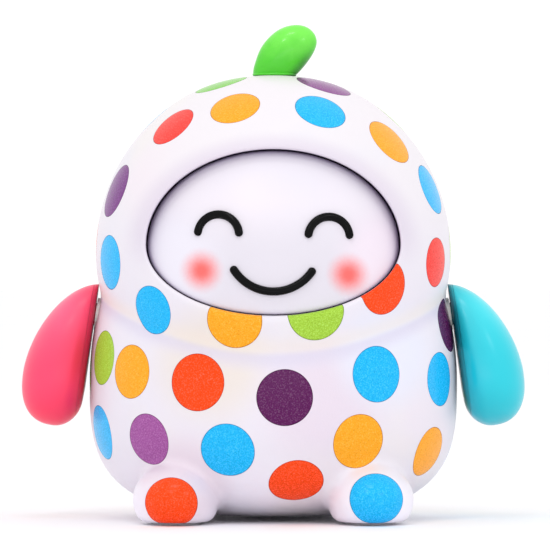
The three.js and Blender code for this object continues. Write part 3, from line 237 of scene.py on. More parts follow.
# Dots of the suit: sizes, depth of the print, and what counts as proud of the trunk, on it, and on a foot
DOT_RADIUS = 10.7
DOT_APART = 24.0
NO_DOT = 20.0
PRINT_DEPTH = 1.8
PROUD_OF_TRUNK = 0.02
ON_TRUNK = 0.05
DOT_ON_FOOT = 1.0
DOT_COLOURS = {
    "lime": (160, 203, 62),
    "amber": (252, 165, 28),
    "sky": (20, 180, 243),
    "orange": (250, 70, 6),
    "red": (244, 56, 46),
    "purple": (88, 14, 82),
    "mauve": (158, 84, 154),
    # Painted shade: two darker copies of lime and mauve, for the two dots on the crown
    "shaded_crown_lime": (110, 192, 34),
    "shaded_crown_mauve": (126, 40, 128),
    "violet": (112, 28, 124),
}

# Dots of the back: the order of colours, and height, pitch in degrees and shift in pitches of each row
BACK_DOT_COLOURS = ["amber", "purple", "sky", "orange", "lime", "mauve", "red"]
BACK_DOT_ROWS = [
    (163.0, 42.0, 0.5), (139.0, 30.0, 0.0), (112.0, 26.5, 0.5),
    (85.0, 26.0, 0.0), (58.0, 25.5, 0.5), (31.0, 26.5, 0.0),
]
BACK_DOT_REACH = 86.0
BACK_DOT_SWAY = 2.5

# Whites of the suit: at the soles, on the belly and on the hood; painted highlight and painted shade at the
# neck;
# painted shade round the face opening and in recesses
SOLE_WHITE = (243, 238, 250)
BELLY_WHITE = (226, 221, 231)
HOOD_WHITE = (228, 223, 228)
NECK_HIGHLIGHT_WARM = (238, 226, 214)
NECK_SHADE_LILAC = (212, 206, 226)
FACE_RIM_SHADE_LILAC = (208, 197, 214)
RECESS_SHADE_VIOLET = (122, 104, 140)

# Face: two whites that drift, the painted shade below them, the rim's painted shadow in lilac towards the
# upper edge and at it, and the cheeks
FACE_WHITE = (225, 220, 230)
FACE_DRIFT_WHITE = (229, 222, 231)
FACE_LOW_SHADE_WHITE = (217, 212, 222)
FACE_RIM_SHADOW_LILAC = (214, 204, 226)
FACE_EDGE_SHADOW_LILAC = (128, 104, 150)
CHEEK_RED = (240, 106, 102)

# Leaf: low, on top in painted light, and in painted shade along its lower right edge
LEAF_LOW_GREEN = (76, 202, 40)
LEAF_LIT_TOP_GREEN = (116, 230, 76)
LEAF_EDGE_SHADE_GREEN = (28, 120, 20)

# Drifts of the suit's white: waves a metre, from and to in the noise, the most that shows, and colour
SUIT_DRIFTS = [
    (14.0, 0.5, 0.75, 0.5, (232, 219, 228)), (19.0, 0.52, 0.75, 0.4, (230, 226, 216)),
    (23.0, 0.55, 0.78, 0.4, (217, 219, 232)),
]

# Soft tints of the suit's and the face's white: place across and up, radius, and colour
SUIT_TINTS = [
    (-24.0, 63.0, 30.0, (226, 217, 212)), (19.0, 48.0, 32.0, (223, 211, 224)),
    (-35.0, 17.0, 24.0, (225, 212, 223)), (44.0, 66.0, 26.0, (223, 224, 238)),
]
FACE_TINTS = [(-42.0, 103.0, 28.0, (226, 222, 233)), (44.0, 105.0, 24.0, (230, 218, 230))]

# Moulded finishes: slot, name, colour, lighter colour, roughness, coat, and height of the grain in metres
FINE_GRAIN = 0.00002
MOULDED_FINISHES = [
    ("pad_rubber", "pad_grey_rubber", (196, 192, 200), (206, 203, 210), 0.75, 0.0, 0.00006),
    ("box_plastic", "box_grey_plastic", (44, 44, 50), (52, 52, 58), 0.55, 0.0, 0.00005),
    ("board_green", "board_green_lacquer", (28, 98, 60), (34, 112, 70), 0.35, 0.3, FINE_GRAIN),
    ("chip_black", "chip_black", (22, 22, 24), (30, 30, 32), 0.5, 0.0, FINE_GRAIN),
    ("socket_ivory", "socket_ivory", (232, 224, 200), (238, 232, 214), 0.45, 0.0, FINE_GRAIN),
    ("acetal", "acetal_white", (228, 228, 224), (236, 236, 232), 0.4, 0.0, FINE_GRAIN),
    ("cell_jacket", "cell_jacket", (58, 62, 68), (70, 74, 80), 0.35, 0.3, FINE_GRAIN),
    ("paper_cone", "paper_cone", (32, 30, 28), (42, 40, 36), 0.9, 0.0, 0.0001),
    ("lead_red", "lead_red", (176, 34, 40), (190, 46, 50), 0.45, 0.1, FINE_GRAIN),
]

# Bright tone of the scratches in plated metal
WORN_METAL = (232, 234, 238)

# Wing finishes: slot, name, colours low in painted shade, in the middle, on top in painted light, and at the
# edge by the body in painted shadow, and coat
WING_FINISHES = [
    ("wing_pink", "wing_pink_satin", (246, 34, 76), (253, 66, 106), (255, 102, 138), (212, 26, 70), 0.1),
    ("wing_teal", "wing_teal_satin", (12, 184, 202), (20, 198, 214), (64, 218, 230), (6, 92, 106), 0.3),
]

# Studio, in metres and watts: name, place, width, height and power of each softbox, and the white room
SOFTBOXES = [
    ("left_softbox", (-0.5, -1.4, 1.5), 0.25, 0.2, 2.2),
    ("right_softbox", (1.2, -1.4, 1.1), 0.3, 0.25, 1.6),
    ("top_softbox", (-0.1, -0.7, 1.7), 0.5, 0.15, 2.4),
    ("front_softbox", (0.0, -2.2, 0.12), 1.6, 0.3, 2.2),
]
SOFTBOX_AIM = (0, 0, 0.1)
ROOM_STRENGTH = 1.09

# Floor, in millimetres: a wide disc under the soles
FLOOR_RADIUS = 30000
FLOOR_DEPTH = 20


# Numbers

def linear(rgb):
    """The linear colour of an 8-bit sRGB one: the usual curve, a power of 2.4 above a short straight foot."""
    share = np.asarray(rgb, float) / 255
    return np.where(share <= 0.04045, share / 12.92, ((share + 0.055) / 1.055) ** 2.4)


def blended(a, b, width):
    """A fillet: the smaller of two distances, lowered by up to a quarter of the width where alike."""
    share = np.maximum(width - np.abs(a - b), 0) / width
    return np.minimum(a, b) - share ** 2 * width / 4


def outside_egg(across, level, power, radius):
    """How far a point lies outside an egg, on the line to its centre: radius less radius over reach."""
    reach = (across ** power + level ** power) ** (1 / power)
    return radius * (1 - 1 / np.maximum(reach, 1e-6))


def unit(vectors):
    """Each vector divided by its length."""
    return vectors / np.linalg.norm(vectors, axis=-1, keepdims=True)


def full_turn(count):
    """Angles in even steps all the way round."""
    return np.linspace(0, 2 * np.pi, count, endpoint=False)


def half_turn(rows):
    """Angles in even steps from pole to pole, both left out, one row for each."""
    return np.linspace(0, np.pi, rows + 2)[1:-1, None]


def inward(rows):
    """Shares in even steps from 1 at an edge towards 0 in the middle, which is left out, one row for each."""
    return np.linspace(1, 0, rows + 1)[:-1, None]


# The body's outer surface

def outside_belly(points):
    """An egg that is elliptic above its middle, and squarer below it by a higher power."""
    x, y, z = points[..., 0], points[..., 1] - BELLY_Y, points[..., 2] - BELLY_Z
    above = z > 0
    across = np.hypot(x / BELLY_HALF_WIDTH, y / BELLY_HALF_DEPTH)
    level = np.abs(z) / np.where(above, BELLY_RISE, BELLY_DROP)
    power = np.where(above, 2.0, BELLY_SQUARENESS)
    return outside_egg(across, level, power, np.sqrt(x ** 2 + y ** 2 + z ** 2))


def outside_hood(points):
    """An egg whose lower half bows forward by the square of its depth, with a soft sink in its crown."""
    x, z = points[..., 0], points[..., 2] - HOOD_Z
    y = points[..., 1] - HOOD_Y + np.minimum(z, 0) ** 2 / (2 * CHIN_CURVE_RADIUS)
    across = np.hypot(x / HOOD_HALF_WIDTH, y / HOOD_HALF_DEPTH)
    level = np.abs(z) / np.where(z > 0, HOOD_RISE, HOOD_DROP)
    out = points[..., 0] ** 2 + points[..., 1] ** 2
    sink = CROWN_SINK * np.exp(-out / CROWN_REACH ** 2) * (points[..., 2] > HOOD_Z)
    return sink + outside_egg(across, level, 2.0, np.sqrt(x ** 2 + y ** 2 + z ** 2))


def outside_foot(points, place, half):
    """An ellipsoid, on both sides of the middle plane at once."""
    x, y, z = np.abs(points[..., 0]) - place[0], points[..., 1] - place[1], points[..., 2] - place[2]
    across = np.hypot(x / half[0], y / half[1])
    return outside_egg(across, np.abs(z) / half[2], 2.0, np.sqrt(x ** 2 + y ** 2 + z ** 2))


def outside_trunk(points):
    """Belly and hood joined by a narrow fillet."""
    return blended(outside_belly(points), outside_hood(points), NECK_BLEND)


def outside_body(points):
    """The trunk with the feet joined by a wide fillet, and all of it cut flat at the soles."""
    field = outside_trunk(points)
    for place, half in (TOE, HEEL):
        field = blended(field, outside_foot(points, place, half), FOOT_BLEND)
    return -blended(-field, points[..., 2] - SOLE_Z, SOLE_ROUND)


def on_rays(origins, directions, inset=0.0, field=outside_trunk, coarse=33, halvings=24):
    """The outermost point of each ray that lies an inset below the surface: coarse steps, then halving."""
    directions = unit(directions)
    origins = np.broadcast_to(origins, directions.shape)
    steps = np.linspace(RAY_REACH, 0, coarse)
    inside = np.stack([field(origins + directions * step) + inset < 0 for step in steps])
    first = np.maximum(inside.argmax(0), 1)
    outer, inner = steps[first - 1], steps[first]
    for _ in range(halvings):
        middle = (outer + inner) / 2
        beyond = field(origins + directions * middle[..., None]) + inset > 0
        outer, inner = np.where(beyond, middle, outer), np.where(beyond, inner, middle)
    return origins + directions * inner[..., None]


def on_side(across, up, side, inset=0.0):
    """The trunk's point before (side -1) or behind (side 1) a place of the X-Z plane."""
    origins = np.stack([across, np.zeros_like(across), up], -1)
    return on_rays(origins, np.broadcast_to((0.0, float(side), 0.0), origins.shape), inset)


# Meshes

def grid_faces(rows, columns, closed):
    """Quads of a grid whose columns run round, and whose last row joins the first if it is closed."""
    row = np.arange(rows if closed else rows - 1)[:, None]
    column = np.arange(columns)[None, :]
    below, beside = (row + 1) % rows, (column + 1) % columns
    this_row, next_row = row * columns, below * columns
    corners = [this_row + column, this_row + beside, next_row + beside, next_row + column]
    return np.stack(np.broadcast_arrays(*corners), -1).reshape(-1, 4)


def fan_faces(ring_start, columns, pole):
    """Triangles from each edge of a ring to one pole."""
    column = np.arange(columns)
    return np.stack([ring_start + column, ring_start + (column + 1) % columns, np.full(columns, pole)], -1)


def signed_volume(points, faces):
    """Six times a closed surface's volume: the sum of its triangles' triple products, quads as fans."""
    total = 0.0
    for second in range(1, faces.shape[1] - 1):
        a, b, c = points[faces[:, 0]], points[faces[:, second]], points[faces[:, second + 1]]
        total += np.einsum("ij,ij->", a, np.cross(b, c))
    return total


def solid(name, rings, start=None, end=None):
    """A closed piece from rings of points: its two ends close on poles, or the last ring joins the first."""
    rings = np.asarray(rings, float)
    rows, columns = rings.shape[:2]
    points = rings.reshape(-1, 3)
    quads = grid_faces(rows, columns, start is None)
    fans = np.zeros((0, 3), int)
    if start is not None:
        points = np.concatenate([points, [start, end]])
        first = fan_faces(0, columns, rows * columns)[:, ::-1]
        last = fan_faces((rows - 1) * columns, columns, rows * columns + 1)
        fans = np.concatenate([first, last])
    if signed_volume(points, quads) + signed_volume(points, fans) < 0:
        quads, fans = quads[:, ::-1], fans[:, ::-1]
    mesh = bpy.data.meshes.new(name)
    mesh.from_pydata((points * MM).tolist(), [], quads.tolist() + fans.tolist())
    mesh.update()
    piece = bpy.data.objects.new(name, mesh)
    bpy.context.scene.collection.objects.link(piece)
    return piece


def read_points(piece):
    """A piece's points, in millimetres."""
    flat = np.empty(len(piece.data.vertices) * 3)
    piece.data.vertices.foreach_get("co", flat)
    return flat.reshape(-1, 3) / MM


def write_points(piece, points):
    """Moves a piece's points to new places in millimetres."""
    piece.data.vertices.foreach_set("co", (points * MM).ravel())
    piece.data.update()


def cut(piece, operation, *tools):
    """The piece after each tool is taken from it or joined to it. The tools are used up."""
    for tool in tools:
        modifier = piece.modifiers.new(tool.name, "BOOLEAN")
        modifier.operation = operation
        modifier.solver = "MANIFOLD"
        modifier.object = tool
    bpy.context.view_layer.update()
    shaped = piece.evaluated_get(bpy.context.evaluated_depsgraph_get())
    mesh = bpy.data.meshes.new_from_object(shaped)
    piece.modifiers.clear()
    piece.data = mesh
    for tool in tools:
        bpy.data.objects.remove(tool)
    return piece


def finish_piece(piece, finishes, body, slot, replaced):
    """Smooth shading, sharp above an angle; its slot's finish; the body it rides on; the replaced nodes."""
    piece.data.materials.clear()
    piece.data.materials.append(finishes[slot])
    piece.data.shade_smooth()
    piece.data.set_sharp_from_angle(angle=SHARP_ANGLE)
    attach(piece, body)
    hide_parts(*replaced)


def column(name, outline, start, end):
    """A straight column: an outline ring at its start, the same ring at its end, and two poles."""
    first, last = outline + start, outline + end
    return solid(name, [first, last], first.mean(0), last.mean(0))


def turned_outline(radius_x, radius_y, sides, plane):
    """An ellipse's ring in the plane of two axes: the radii times the turn's cosine and sine."""
    turn = full_turn(sides)
    ring = np.zeros((sides, 3))
    ring[:, plane[0]] = radius_x * np.cos(turn)
    ring[:, plane[1]] = radius_y * np.sin(turn)
    return ring


def rod(name, radius, start, end, sides=48, plane=(0, 2)):
    """A round column between two places, whose rings lie in the plane of two axes."""
    return column(name, turned_outline(radius, radius, sides, plane), np.array(start), np.array(end))


def upright(name, half, x, y, heights, sides=96):
    """An oval column that stands at a place, between two heights."""
    return column(name, turned_outline(*half, sides, (0, 1)), *(np.array([x, y, z]) for z in heights))


def curve_rows(first, corner, last, count):
    """Rows of a quadratic curve from the first ring, drawn towards the corner ring, to the last ring."""
    share = np.linspace(0, 1, count)[:, None, None]
    return (1 - share) ** 2 * first + 2 * share * (1 - share) * corner + share ** 2 * last


def straight_rows(first, last, count):
    """Rows evenly between two rings, both left out."""
    share = np.linspace(0, 1, count + 2)[1:-1, None, None]
    return (1 - share) * first + share * last


def even_shares(curve, first, last, count, samples=240):
    """Shares that part each column of a curve into equal lengths, read off its running length."""
    share = first + (last - first) * np.linspace(0, 1, samples)[:, None, None]
    steps = np.linalg.norm(np.diff(curve(share), axis=0), axis=-1)
    run = np.concatenate([np.zeros_like(steps[:1]), np.cumsum(steps, axis=0)])
    wanted = np.linspace(0, 1, count)
    run = run / run[-1]
    picked = [np.interp(wanted, run[:, column], share[:, column, 0]) for column in range(run.shape[1])]
    return np.stack(picked, 1)[..., None]


# Shells

def face_outline(turn, offset=0.0):
    """The oval of the face opening: two half ellipses of one width, the upper one taller."""
    half = np.where(np.sin(turn) > 0, FACE_RISE, FACE_DROP)
    return (FACE_HALF_WIDTH + offset) * np.cos(turn), FACE_Z + (half + offset) * np.sin(turn)


def door_outline(turn, offset=0.0):
    """A rounded rectangle: in each direction, the radius of a high-power superellipse."""
    half_x, half_z = DOOR_HALF_WIDTH + offset, DOOR_HALF_HEIGHT + offset
    across, up = np.abs(np.cos(turn) / half_x), np.abs(np.sin(turn) / half_z)
    radius = (across ** DOOR_SQUARENESS + up ** DOOR_SQUARENESS) ** (-1 / DOOR_SQUARENESS)
    return radius * np.cos(turn), DOOR_Z + radius * np.sin(turn)


def shell_rings(side, corner, parting_turn, rim_rows, rows, inner_rows):
    """Rings of half a shell, from the rim of its opening over its skin to the parting plane and back inside.

    Each column's rays turn evenly, at the core, from the rim's direction to its place on the parting plane.
    """
    start = unit(corner - RAY_CORE)
    end = np.stack([np.cos(parting_turn), np.zeros_like(parting_turn), np.sin(parting_turn)], -1)
    angle = np.arccos(np.clip((start * end).sum(-1, keepdims=True), -1, 1))
    length = angle * np.linalg.norm(corner - RAY_CORE, axis=-1, keepdims=True)

    def skin(shares, inset):
        """Points along each column at shares of its angle, kept clear of the parting plane."""
        ways = (np.sin((1 - shares) * angle) * start + np.sin(shares * angle) * end) / np.sin(angle)
        points = on_rays(RAY_CORE, ways, inset)
        points[..., 1] = side * np.maximum(side * points[..., 1], PARTING_GAP / 2)
        return points

    def shares(first, last, count):
        """Shares in even steps, one row for each."""
        return first + (last - first) * np.linspace(0, 1, count)[:, None, None]

    rim, parting = RIM_ROUND / length, 1 - PARTING_ROUND / length
    outer = skin(even_shares(lambda share: skin(share, 0.0), rim, parting, rows), 0.0)
    edge, inner_edge = skin(shares(1, 1, 2), 0.0)[0], skin(shares(1, 1, 2), SHELL_WALL)[0]
    tucked = edge + (inner_edge - edge) * PARTING_ROUND / SHELL_WALL
    inner = skin(shares(1, INNER_SKIN_END / length, inner_rows), SHELL_WALL)
    before, after = rim_rows(outer[0])
    return np.concatenate([before, outer, curve_rows(outer[-1], edge, tucked, 5)[1:], inner, after])


def front_skin():
    """The front shell: round the oval opening, with a rounded rim and a collar in to the face's seat."""
    way = full_turn(FRONT_COLUMNS)
    turn = way - RIM_LEAN * np.cos(way)
    x, z = face_outline(turn)
    corner = on_side(x, z, -1)
    seat = corner.copy()
    seat[:, 1] = FACE_SEAT_Y
    wide_x, wide_z = face_outline(turn, SHELL_WALL)
    wide = np.stack([wide_x, seat[:, 1], wide_z], -1)
    wall = corner + (0, RIM_ROUND, 0)

    def rim_rows(skin_edge):
        """The face's seat, the collar and the rounded rim before the skin, and the collar's back after it."""
        rows = [seat[None], straight_rows(seat, wall, 3), curve_rows(wall, corner, skin_edge, 8)[:-1]]
        return np.concatenate(rows), wide[None]

    parting_turn = turn + PARTING_LEAN * np.cos(turn)
    rings = shell_rings(-1, corner, parting_turn, rim_rows, FRONT_ROWS, FRONT_INNER_ROWS)
    return solid("front_body", rings)


def rear_skin():
    """The rear shell: round the battery door's opening, with the ledge that the door rests on."""
    turn = full_turn(REAR_COLUMNS)
    backing = DOOR_WALL + FIT_GAP
    x, z = door_outline(turn)
    corner = on_side(x, z, 1)
    sunk = on_side(x, z, 1, backing)
    ledge_x, ledge_z = door_outline(turn, -DOOR_SEAT_RIM)
    ledge = on_side(ledge_x, ledge_z, 1, backing)
    under = on_side(ledge_x, ledge_z, 1, backing + DOOR_SEAT_WALL)
    behind = on_side(*door_outline(turn, DOOR_SEAT_BACK), 1, backing + DOOR_SEAT_WALL)
    wall = corner + (sunk - corner) * DOOR_RIM_SHARE

    def rim_rows(skin_edge):
        """The door's ledge, back and front, and the rim before the skin; nothing after it."""
        rows = [[behind, under, ledge, sunk], curve_rows(wall, corner, skin_edge, 6)[:-1]]
        return np.concatenate(rows), np.zeros((0, len(turn), 3))

    return solid("rear_body", shell_rings(1, corner, turn, rim_rows, REAR_ROWS, REAR_INNER_ROWS))


def panel_rings(outline, surface, turn, middle, edge_round, rows, back):
    """Rings of a panel: over its face from the middle, round its edge, then the back rings and its hollow."""
    rim_x, rim_z = outline(turn)
    reach = np.hypot(rim_x - middle[0], rim_z - middle[1])
    share = np.linspace(0, 1, rows + 1)[1:, None] * (1 - edge_round / reach)
    x, z = middle[0] + share * (rim_x - middle[0]), middle[1] + share * (rim_z - middle[1])
    face = np.stack([x, surface(x, z, 0.0), z], -1)
    corner = np.stack([rim_x, surface(rim_x, rim_z, 0.0), rim_z], -1)
    start = np.array([middle[0], float(surface(np.array(middle[0]), np.array(middle[1]), 0.0)), middle[1]])
    side_ring, hollow, end = back(corner)
    return np.concatenate([face, curve_rows(face[-1], corner, side_ring, 6)[1:], hollow]), start, end


# Feet

def lobe(name, side, foot, inset=0.0, rows=72, columns=110):
    """A foot's ellipsoid, from its polar angle and its turn, drawn in by an inset and cut off at the sole."""
    (x, y, z), half = foot
    polar, turn = half_turn(rows), full_turn(columns)[None]
    size = np.array(half) - inset
    centre = np.array([side * x, y, z])
    around = np.sin(polar)
    ball = np.stack([around * np.cos(turn), around * np.sin(turn), np.cos(polar) + 0 * turn], -1)
    top, bottom = centre + (0, 0, size[2]), centre - (0, 0, size[2])
    below = upright("below_sole", (BELOW_SOLE_RADIUS, BELOW_SOLE_RADIUS), side * x, y,
                    (SOLE_Z + inset, BELOW_SOLE_Z), 24)
    return cut(solid(name, centre + ball * size, top, bottom), "DIFFERENCE", below)


def with_feet(skin, foot):
    """A shell with its two hollow foot lobes, joined to it by a fillet."""
    cut(skin, "UNION", *[lobe(f"lobe_{side}", side, foot) for side in (-1, 1)])
    cut(skin, "DIFFERENCE", *[lobe(f"hollow_{side}", side, foot, SHELL_WALL) for side in (-1, 1)])
    return settle(skin, foot)


def settle(skin, foot, reach=12.0, step=0.05, least_slope=0.05, rounds=8):
    """Moves the outer points round the feet onto the filleted surface, by Newton steps along its slope."""
    (x, y, _), (width, length, height) = foot
    points = read_points(skin)
    sharp = np.minimum(outside_trunk(points), outside_foot(points, *foot))
    near = (np.abs(np.abs(points[:, 0]) - x) < width + reach) & (np.abs(points[:, 1] - y) < length + reach)
    near = near & (points[:, 2] < 2 * height + reach)
    outer = near & ((np.abs(sharp) < ON_SKIN) | (np.abs(points[:, 2] - SOLE_Z) < ON_SOLE))
    moved = points[outer]
    for _ in range(rounds):
        slope = np.stack([
            (outside_body(moved + way) - outside_body(moved - way)) / (2 * step) for way in np.eye(3) * step
        ], -1)
        steepness = np.maximum((slope ** 2).sum(-1), least_slope)
        moved = moved - slope * (outside_body(moved) / steepness)[:, None]
    points[outer] = moved
    write_points(skin, points)
    return skin


# Pieces

def front_body():
    """The front shell with its toes, cut for the leaf, the bushes of the wings and the foot pads."""
    tools = [leaf_hole(), *bush_holes(), *pad_pockets(TOE, TOE_PAD)]
    return cut(with_feet(front_skin(), TOE), "DIFFERENCE", *tools)


def leaf_hole():
    """The oval hole in the crown that the leaf's stem stands in."""
    return upright("leaf_hole", LEAF_HOLE_HALF, LEAF_HOLE_X, 0, LEAF_HOLE_HEIGHTS)


def bush_holes():
    """A hole on either side for a wing's bush, tilted like the wing's pivot."""
    (start_x, start_z), (end_x, end_z) = BUSH_HOLE_ENDS
    return [
        rod(f"bush_hole_{side}", BUSH_HOLE_RADIUS, (side * start_x, 0, start_z), (side * end_x, 0, end_z),
            plane=(1, 2))
        for side in (-1, 1)
    ]


def pad_pockets(foot, pad):
    """An oval pocket in either sole of a pair, a fit gap wider than its pad."""
    (x, y, _), _ = foot
    half = (pad[0] + FIT_GAP, pad[1] + FIT_GAP)
    return [upright(f"pocket_{side}", half, side * x, y, PAD_POCKET_HEIGHTS, 72) for side in (-1, 1)]


def screw_sink(name, radius, x, z, start_y):
    """A round hole for a screw's head, from inside the body to behind it."""
    return rod(name, radius, (x, start_y, z), (x, BEHIND_Y, z))


def slot_hole(name, half_length, half_height, z, start_y):
    """A level slot through the back of the body: two half circles set apart, carried along Y."""
    turn = full_turn(48)
    shift = np.sign(np.cos(turn)) * (half_length - half_height)
    ring = np.stack([half_height * np.cos(turn) + shift, 0 * turn, half_height * np.sin(turn)], -1)
    return column(name, ring, np.array([0, start_y, z]), np.array([0, BEHIND_Y, z]))


def rear_body():
    """The rear shell, cut for screws, loudspeaker slots, switch, leaf, bushes and pads."""
    sinks = [
        screw_sink(f"sink_{index}", SHELL_SCREW_RADIUS, x, z, SHELL_SCREW_START)
        for index, (x, z) in enumerate(SHELL_SCREWS)
    ]
    slots = [
        slot_hole(f"slot_{index}", SOUND_SLOT_LENGTH - SOUND_SLOT_SHORTENING * abs(index), SOUND_SLOT_HEIGHT,
                  SOUND_SLOT_Z + SOUND_SLOT_PITCH * index, SOUND_SLOT_START)
        for index in range(-2, 3)
    ]
    switch = slot_hole(
        "switch_slot", SWITCH_SLOT_LENGTH, SWITCH_SLOT_HEIGHT, SWITCH_SLOT_Z, SWITCH_SLOT_START)
    tools = [*sinks, *slots, switch, leaf_hole(), *bush_holes(), *pad_pockets(HEEL, HEEL_PAD)]
    return cut(with_feet(rear_skin(), HEEL), "DIFFERENCE", *tools)


def battery_door():
    """The door: the body's own surface inside the door outline, one wall thick, with two sunk screw holes."""
    turn = full_turn(240)

    def surface(x, z, inset):
        """The depth of the body's back at places of the X-Z plane."""
        return on_side(x, z, 1, inset)[..., 1]

    def back(corner):
        """The ring at the door's side, the rings under its wall from the edge in, and their last point."""
        share = inward(12)
        x, z = door_outline(turn, -FIT_GAP)
        x, z = share * x, DOOR_Z + share * (z - DOOR_Z)
        under = np.stack([x, surface(x, z, DOOR_WALL), z], -1)
        side_ring = corner + (under[0] - corner) * DOOR_EDGE_SHARE
        end = (0, float(surface(np.array(0.0), np.array(DOOR_Z), DOOR_WALL)), DOOR_Z)
        return side_ring, under, end

    rings, start, end = panel_rings(
        lambda turn: door_outline(turn, -FIT_GAP), surface, turn, (0.0, DOOR_Z), DOOR_EDGE_ROUND, 40, back)
    sinks = [
        screw_sink(f"door_sink_{side}", DOOR_SCREW_RADIUS, side * DOOR_SCREW_X, DOOR_Z, DOOR_SCREW_START)
        for side in (-1, 1)
    ]
    return cut(solid("door_cover", rings, start, end), "DIFFERENCE", *sinks)


def dome_y(x, z, lift):
    """The face's depth at a place: the near side of an ellipsoid, grown by the lift."""
    rest = 1 - (x / (DOME_HALF_WIDTH + lift)) ** 2 - ((z - DOME_Z) / (DOME_HALF_HEIGHT + lift)) ** 2
    return DOME_Y - (DOME_HALF_DEPTH + lift) * np.sqrt(rest)


def face_arc(x, z, radius, first, last, count=49):
    """An arc on the face between two angles in degrees, tilted a little clockwise with the expression."""
    turn = np.radians(np.linspace(first, last, count))
    level, rise = x + radius * np.cos(turn), z + radius * np.sin(turn) - FACE_TILT_Z
    across = level * math.cos(FACE_TILT) + rise * math.sin(FACE_TILT)
    up = FACE_TILT_Z + rise * math.cos(FACE_TILT) - level * math.sin(FACE_TILT)
    return np.stack([across, dome_y(across, up, BAR_PROUD), up], -1)


FACE_BARS = {
    "eye_left": face_arc(-EYE_X, EYE_Z, EYE_ARC_RADIUS, 180 - EYE_DROOP, EYE_DROOP),
    "eye_right": face_arc(EYE_X, EYE_Z, EYE_ARC_RADIUS, 180 - EYE_DROOP, EYE_DROOP),
    "smile": face_arc(0, SMILE_Z, SMILE_ARC_RADIUS, 270 - SMILE_HALF_ANGLE, 270 + SMILE_HALF_ANGLE),
}


def bar(name, path, radius, sides=32, cap_rows=8):
    """An oval bar along a path: ellipses square to it, which shrink to a pole over each half-ball end."""
    along = unit(np.gradient(path, axis=0))
    out = unit(np.cross(along, (0.0, 1.0, 0.0)))
    depth = np.cross(out, along)
    cap = np.linspace(0, np.pi / 2, cap_rows + 1)[:-1][::-1, None]
    start = path[0] - along[0] * radius * np.sin(cap)
    end = (path[-1] + along[-1] * radius * np.sin(cap))[::-1]
    centres = np.concatenate([start, path[1:-1], end])
    narrow = radius * np.cos(cap)
    radii = np.concatenate([narrow, np.full((len(path) - 2, 1), radius), narrow[::-1]])
    last = len(path) - 1
    picked = np.concatenate([np.zeros(cap_rows, int), np.arange(1, last), np.full(cap_rows, last)])
    turn = full_turn(sides)[None, :, None]
    rings = centres[:, None] + radii[:, None] * (
        np.cos(turn) * out[picked][:, None] + np.sin(turn) * BAR_DEPTH_SHARE * depth[picked][:, None])
    return solid(name, rings, path[0] - along[0] * radius, path[-1] + along[-1] * radius)


def face():
    """The domed face inside the opening, with a rounded edge, a skirt, and grooves for the eyes and smile.

    The gap to the rim is narrow below and grows with the sine of the turn to the sides and the top.
    """
    turn = full_turn(300)
    gap = FIT_GAP + (FACE_TOP_GAP - FIT_GAP) * np.clip((1 + np.sin(turn)) / FACE_GAP_SPREAD, 0, 1)

    def back(corner):
        """The ring at the face's side, its skirt and seat, the hollow behind the dome, and its last point."""
        side_ring = corner + (0, FACE_EDGE_DEPTH, 0)
        seat = corner.copy()
        seat[:, 1] = FACE_SEAT_Y + FIT_GAP
        share = inward(12)
        x, z = face_outline(turn, -gap - FACE_WALL)
        seat_in = np.stack([x, seat[:, 1], z], -1)
        x, z = share * x, FACE_Z + share * (z - FACE_Z)
        under = np.stack([x, dome_y(x, z, -FACE_WALL), z], -1)
        under[..., 1] = np.minimum(under[..., 1], FACE_SEAT_Y)
        end = (0, float(dome_y(0.0, FACE_Z, -FACE_WALL)), FACE_Z)
        return side_ring, np.concatenate([straight_rows(side_ring, seat, 2), [seat, seat_in], under]), end

    rings, start, end = panel_rings(
        lambda turn: face_outline(turn, -gap), dome_y, turn, (0.0, FACE_Z), FACE_EDGE_ROUND, 60, back)
    grooves = [bar(f"groove_{name}", path, BAR_RADIUS + GROOVE_GAP) for name, path in FACE_BARS.items()]
    return cut(solid("face", rings, start, end), "DIFFERENCE", *grooves)


def wing_rings(columns, rows):
    """Rings down a wing: superellipses whose bulge, inner heel and breadth are powers of the height."""
    share_down = (1 - np.cos(np.pi * np.arange(1, rows) / rows)) / 2
    w = WING_TOP_W + (WING_BOTTOM_W - WING_TOP_W) * share_down
    upper = (w - WING_BULGE_W) / (WING_TOP_W - WING_BULGE_W)
    lower = (WING_BULGE_W - w) / (WING_BULGE_W - WING_BOTTOM_W)
    power = np.where(w > WING_BULGE_W, WING_TAPER, WING_ROUNDNESS)
    share = np.minimum(np.maximum(upper, lower), 1)
    heel_u = np.where(w > WING_BULGE_W, 0.0, WING_HEEL_U)
    out_u = heel_u + (WING_THICKNESS - heel_u) * (1 - share ** power) ** (1 / power)
    drop = np.clip((WING_HEEL_W - w) / (WING_HEEL_W - WING_BOTTOM_W), 0, 1)
    lead = np.clip((WING_HEEL_W + WING_HEEL_LEAD - w) / WING_HEEL_LEAD, 0, 1)
    in_u = WING_INNER_U * lead ** 2 * (3 - 2 * lead)
    in_u = in_u + (WING_HEEL_U - WING_INNER_U) * (1 - np.sqrt(1 - drop ** 2))
    breadth = WING_HALF_BREADTH * np.sqrt(1 - share ** 2)
    middle = in_u + (out_u - in_u) * WING_KEEL_SHARE
    turn = full_turn(columns)[None]

    def bent(value):
        """A cosine or sine bent to a superellipse's by a power, its sign kept."""
        return np.sign(value) * np.abs(value) ** (2 / WING_FULLNESS)

    reach = np.where(np.cos(turn) > 0, (out_u - middle)[:, None], (middle - in_u)[:, None])
    u = middle[:, None] + reach * bent(np.cos(turn))
    v = np.maximum(breadth, WING_LEAST_BREADTH)[:, None] * bent(np.sin(turn))
    rings = np.stack([u, v, np.broadcast_to(w[:, None], u.shape)], -1)
    return rings, (middle[0], 0, WING_TOP_W), (middle[-1], 0, WING_BOTTOM_W)


def slab(name, first_u, last_u):
    """A flat slab across wing space, between two values of U."""
    ring = CLEAR_OF_WING * np.array([[0, -1, -1], [0, 1, -1], [0, 1, 1], [0, -1, 1]])
    return column(name, ring, np.array([first_u, 0, 0]), np.array([last_u, 0, 0]))


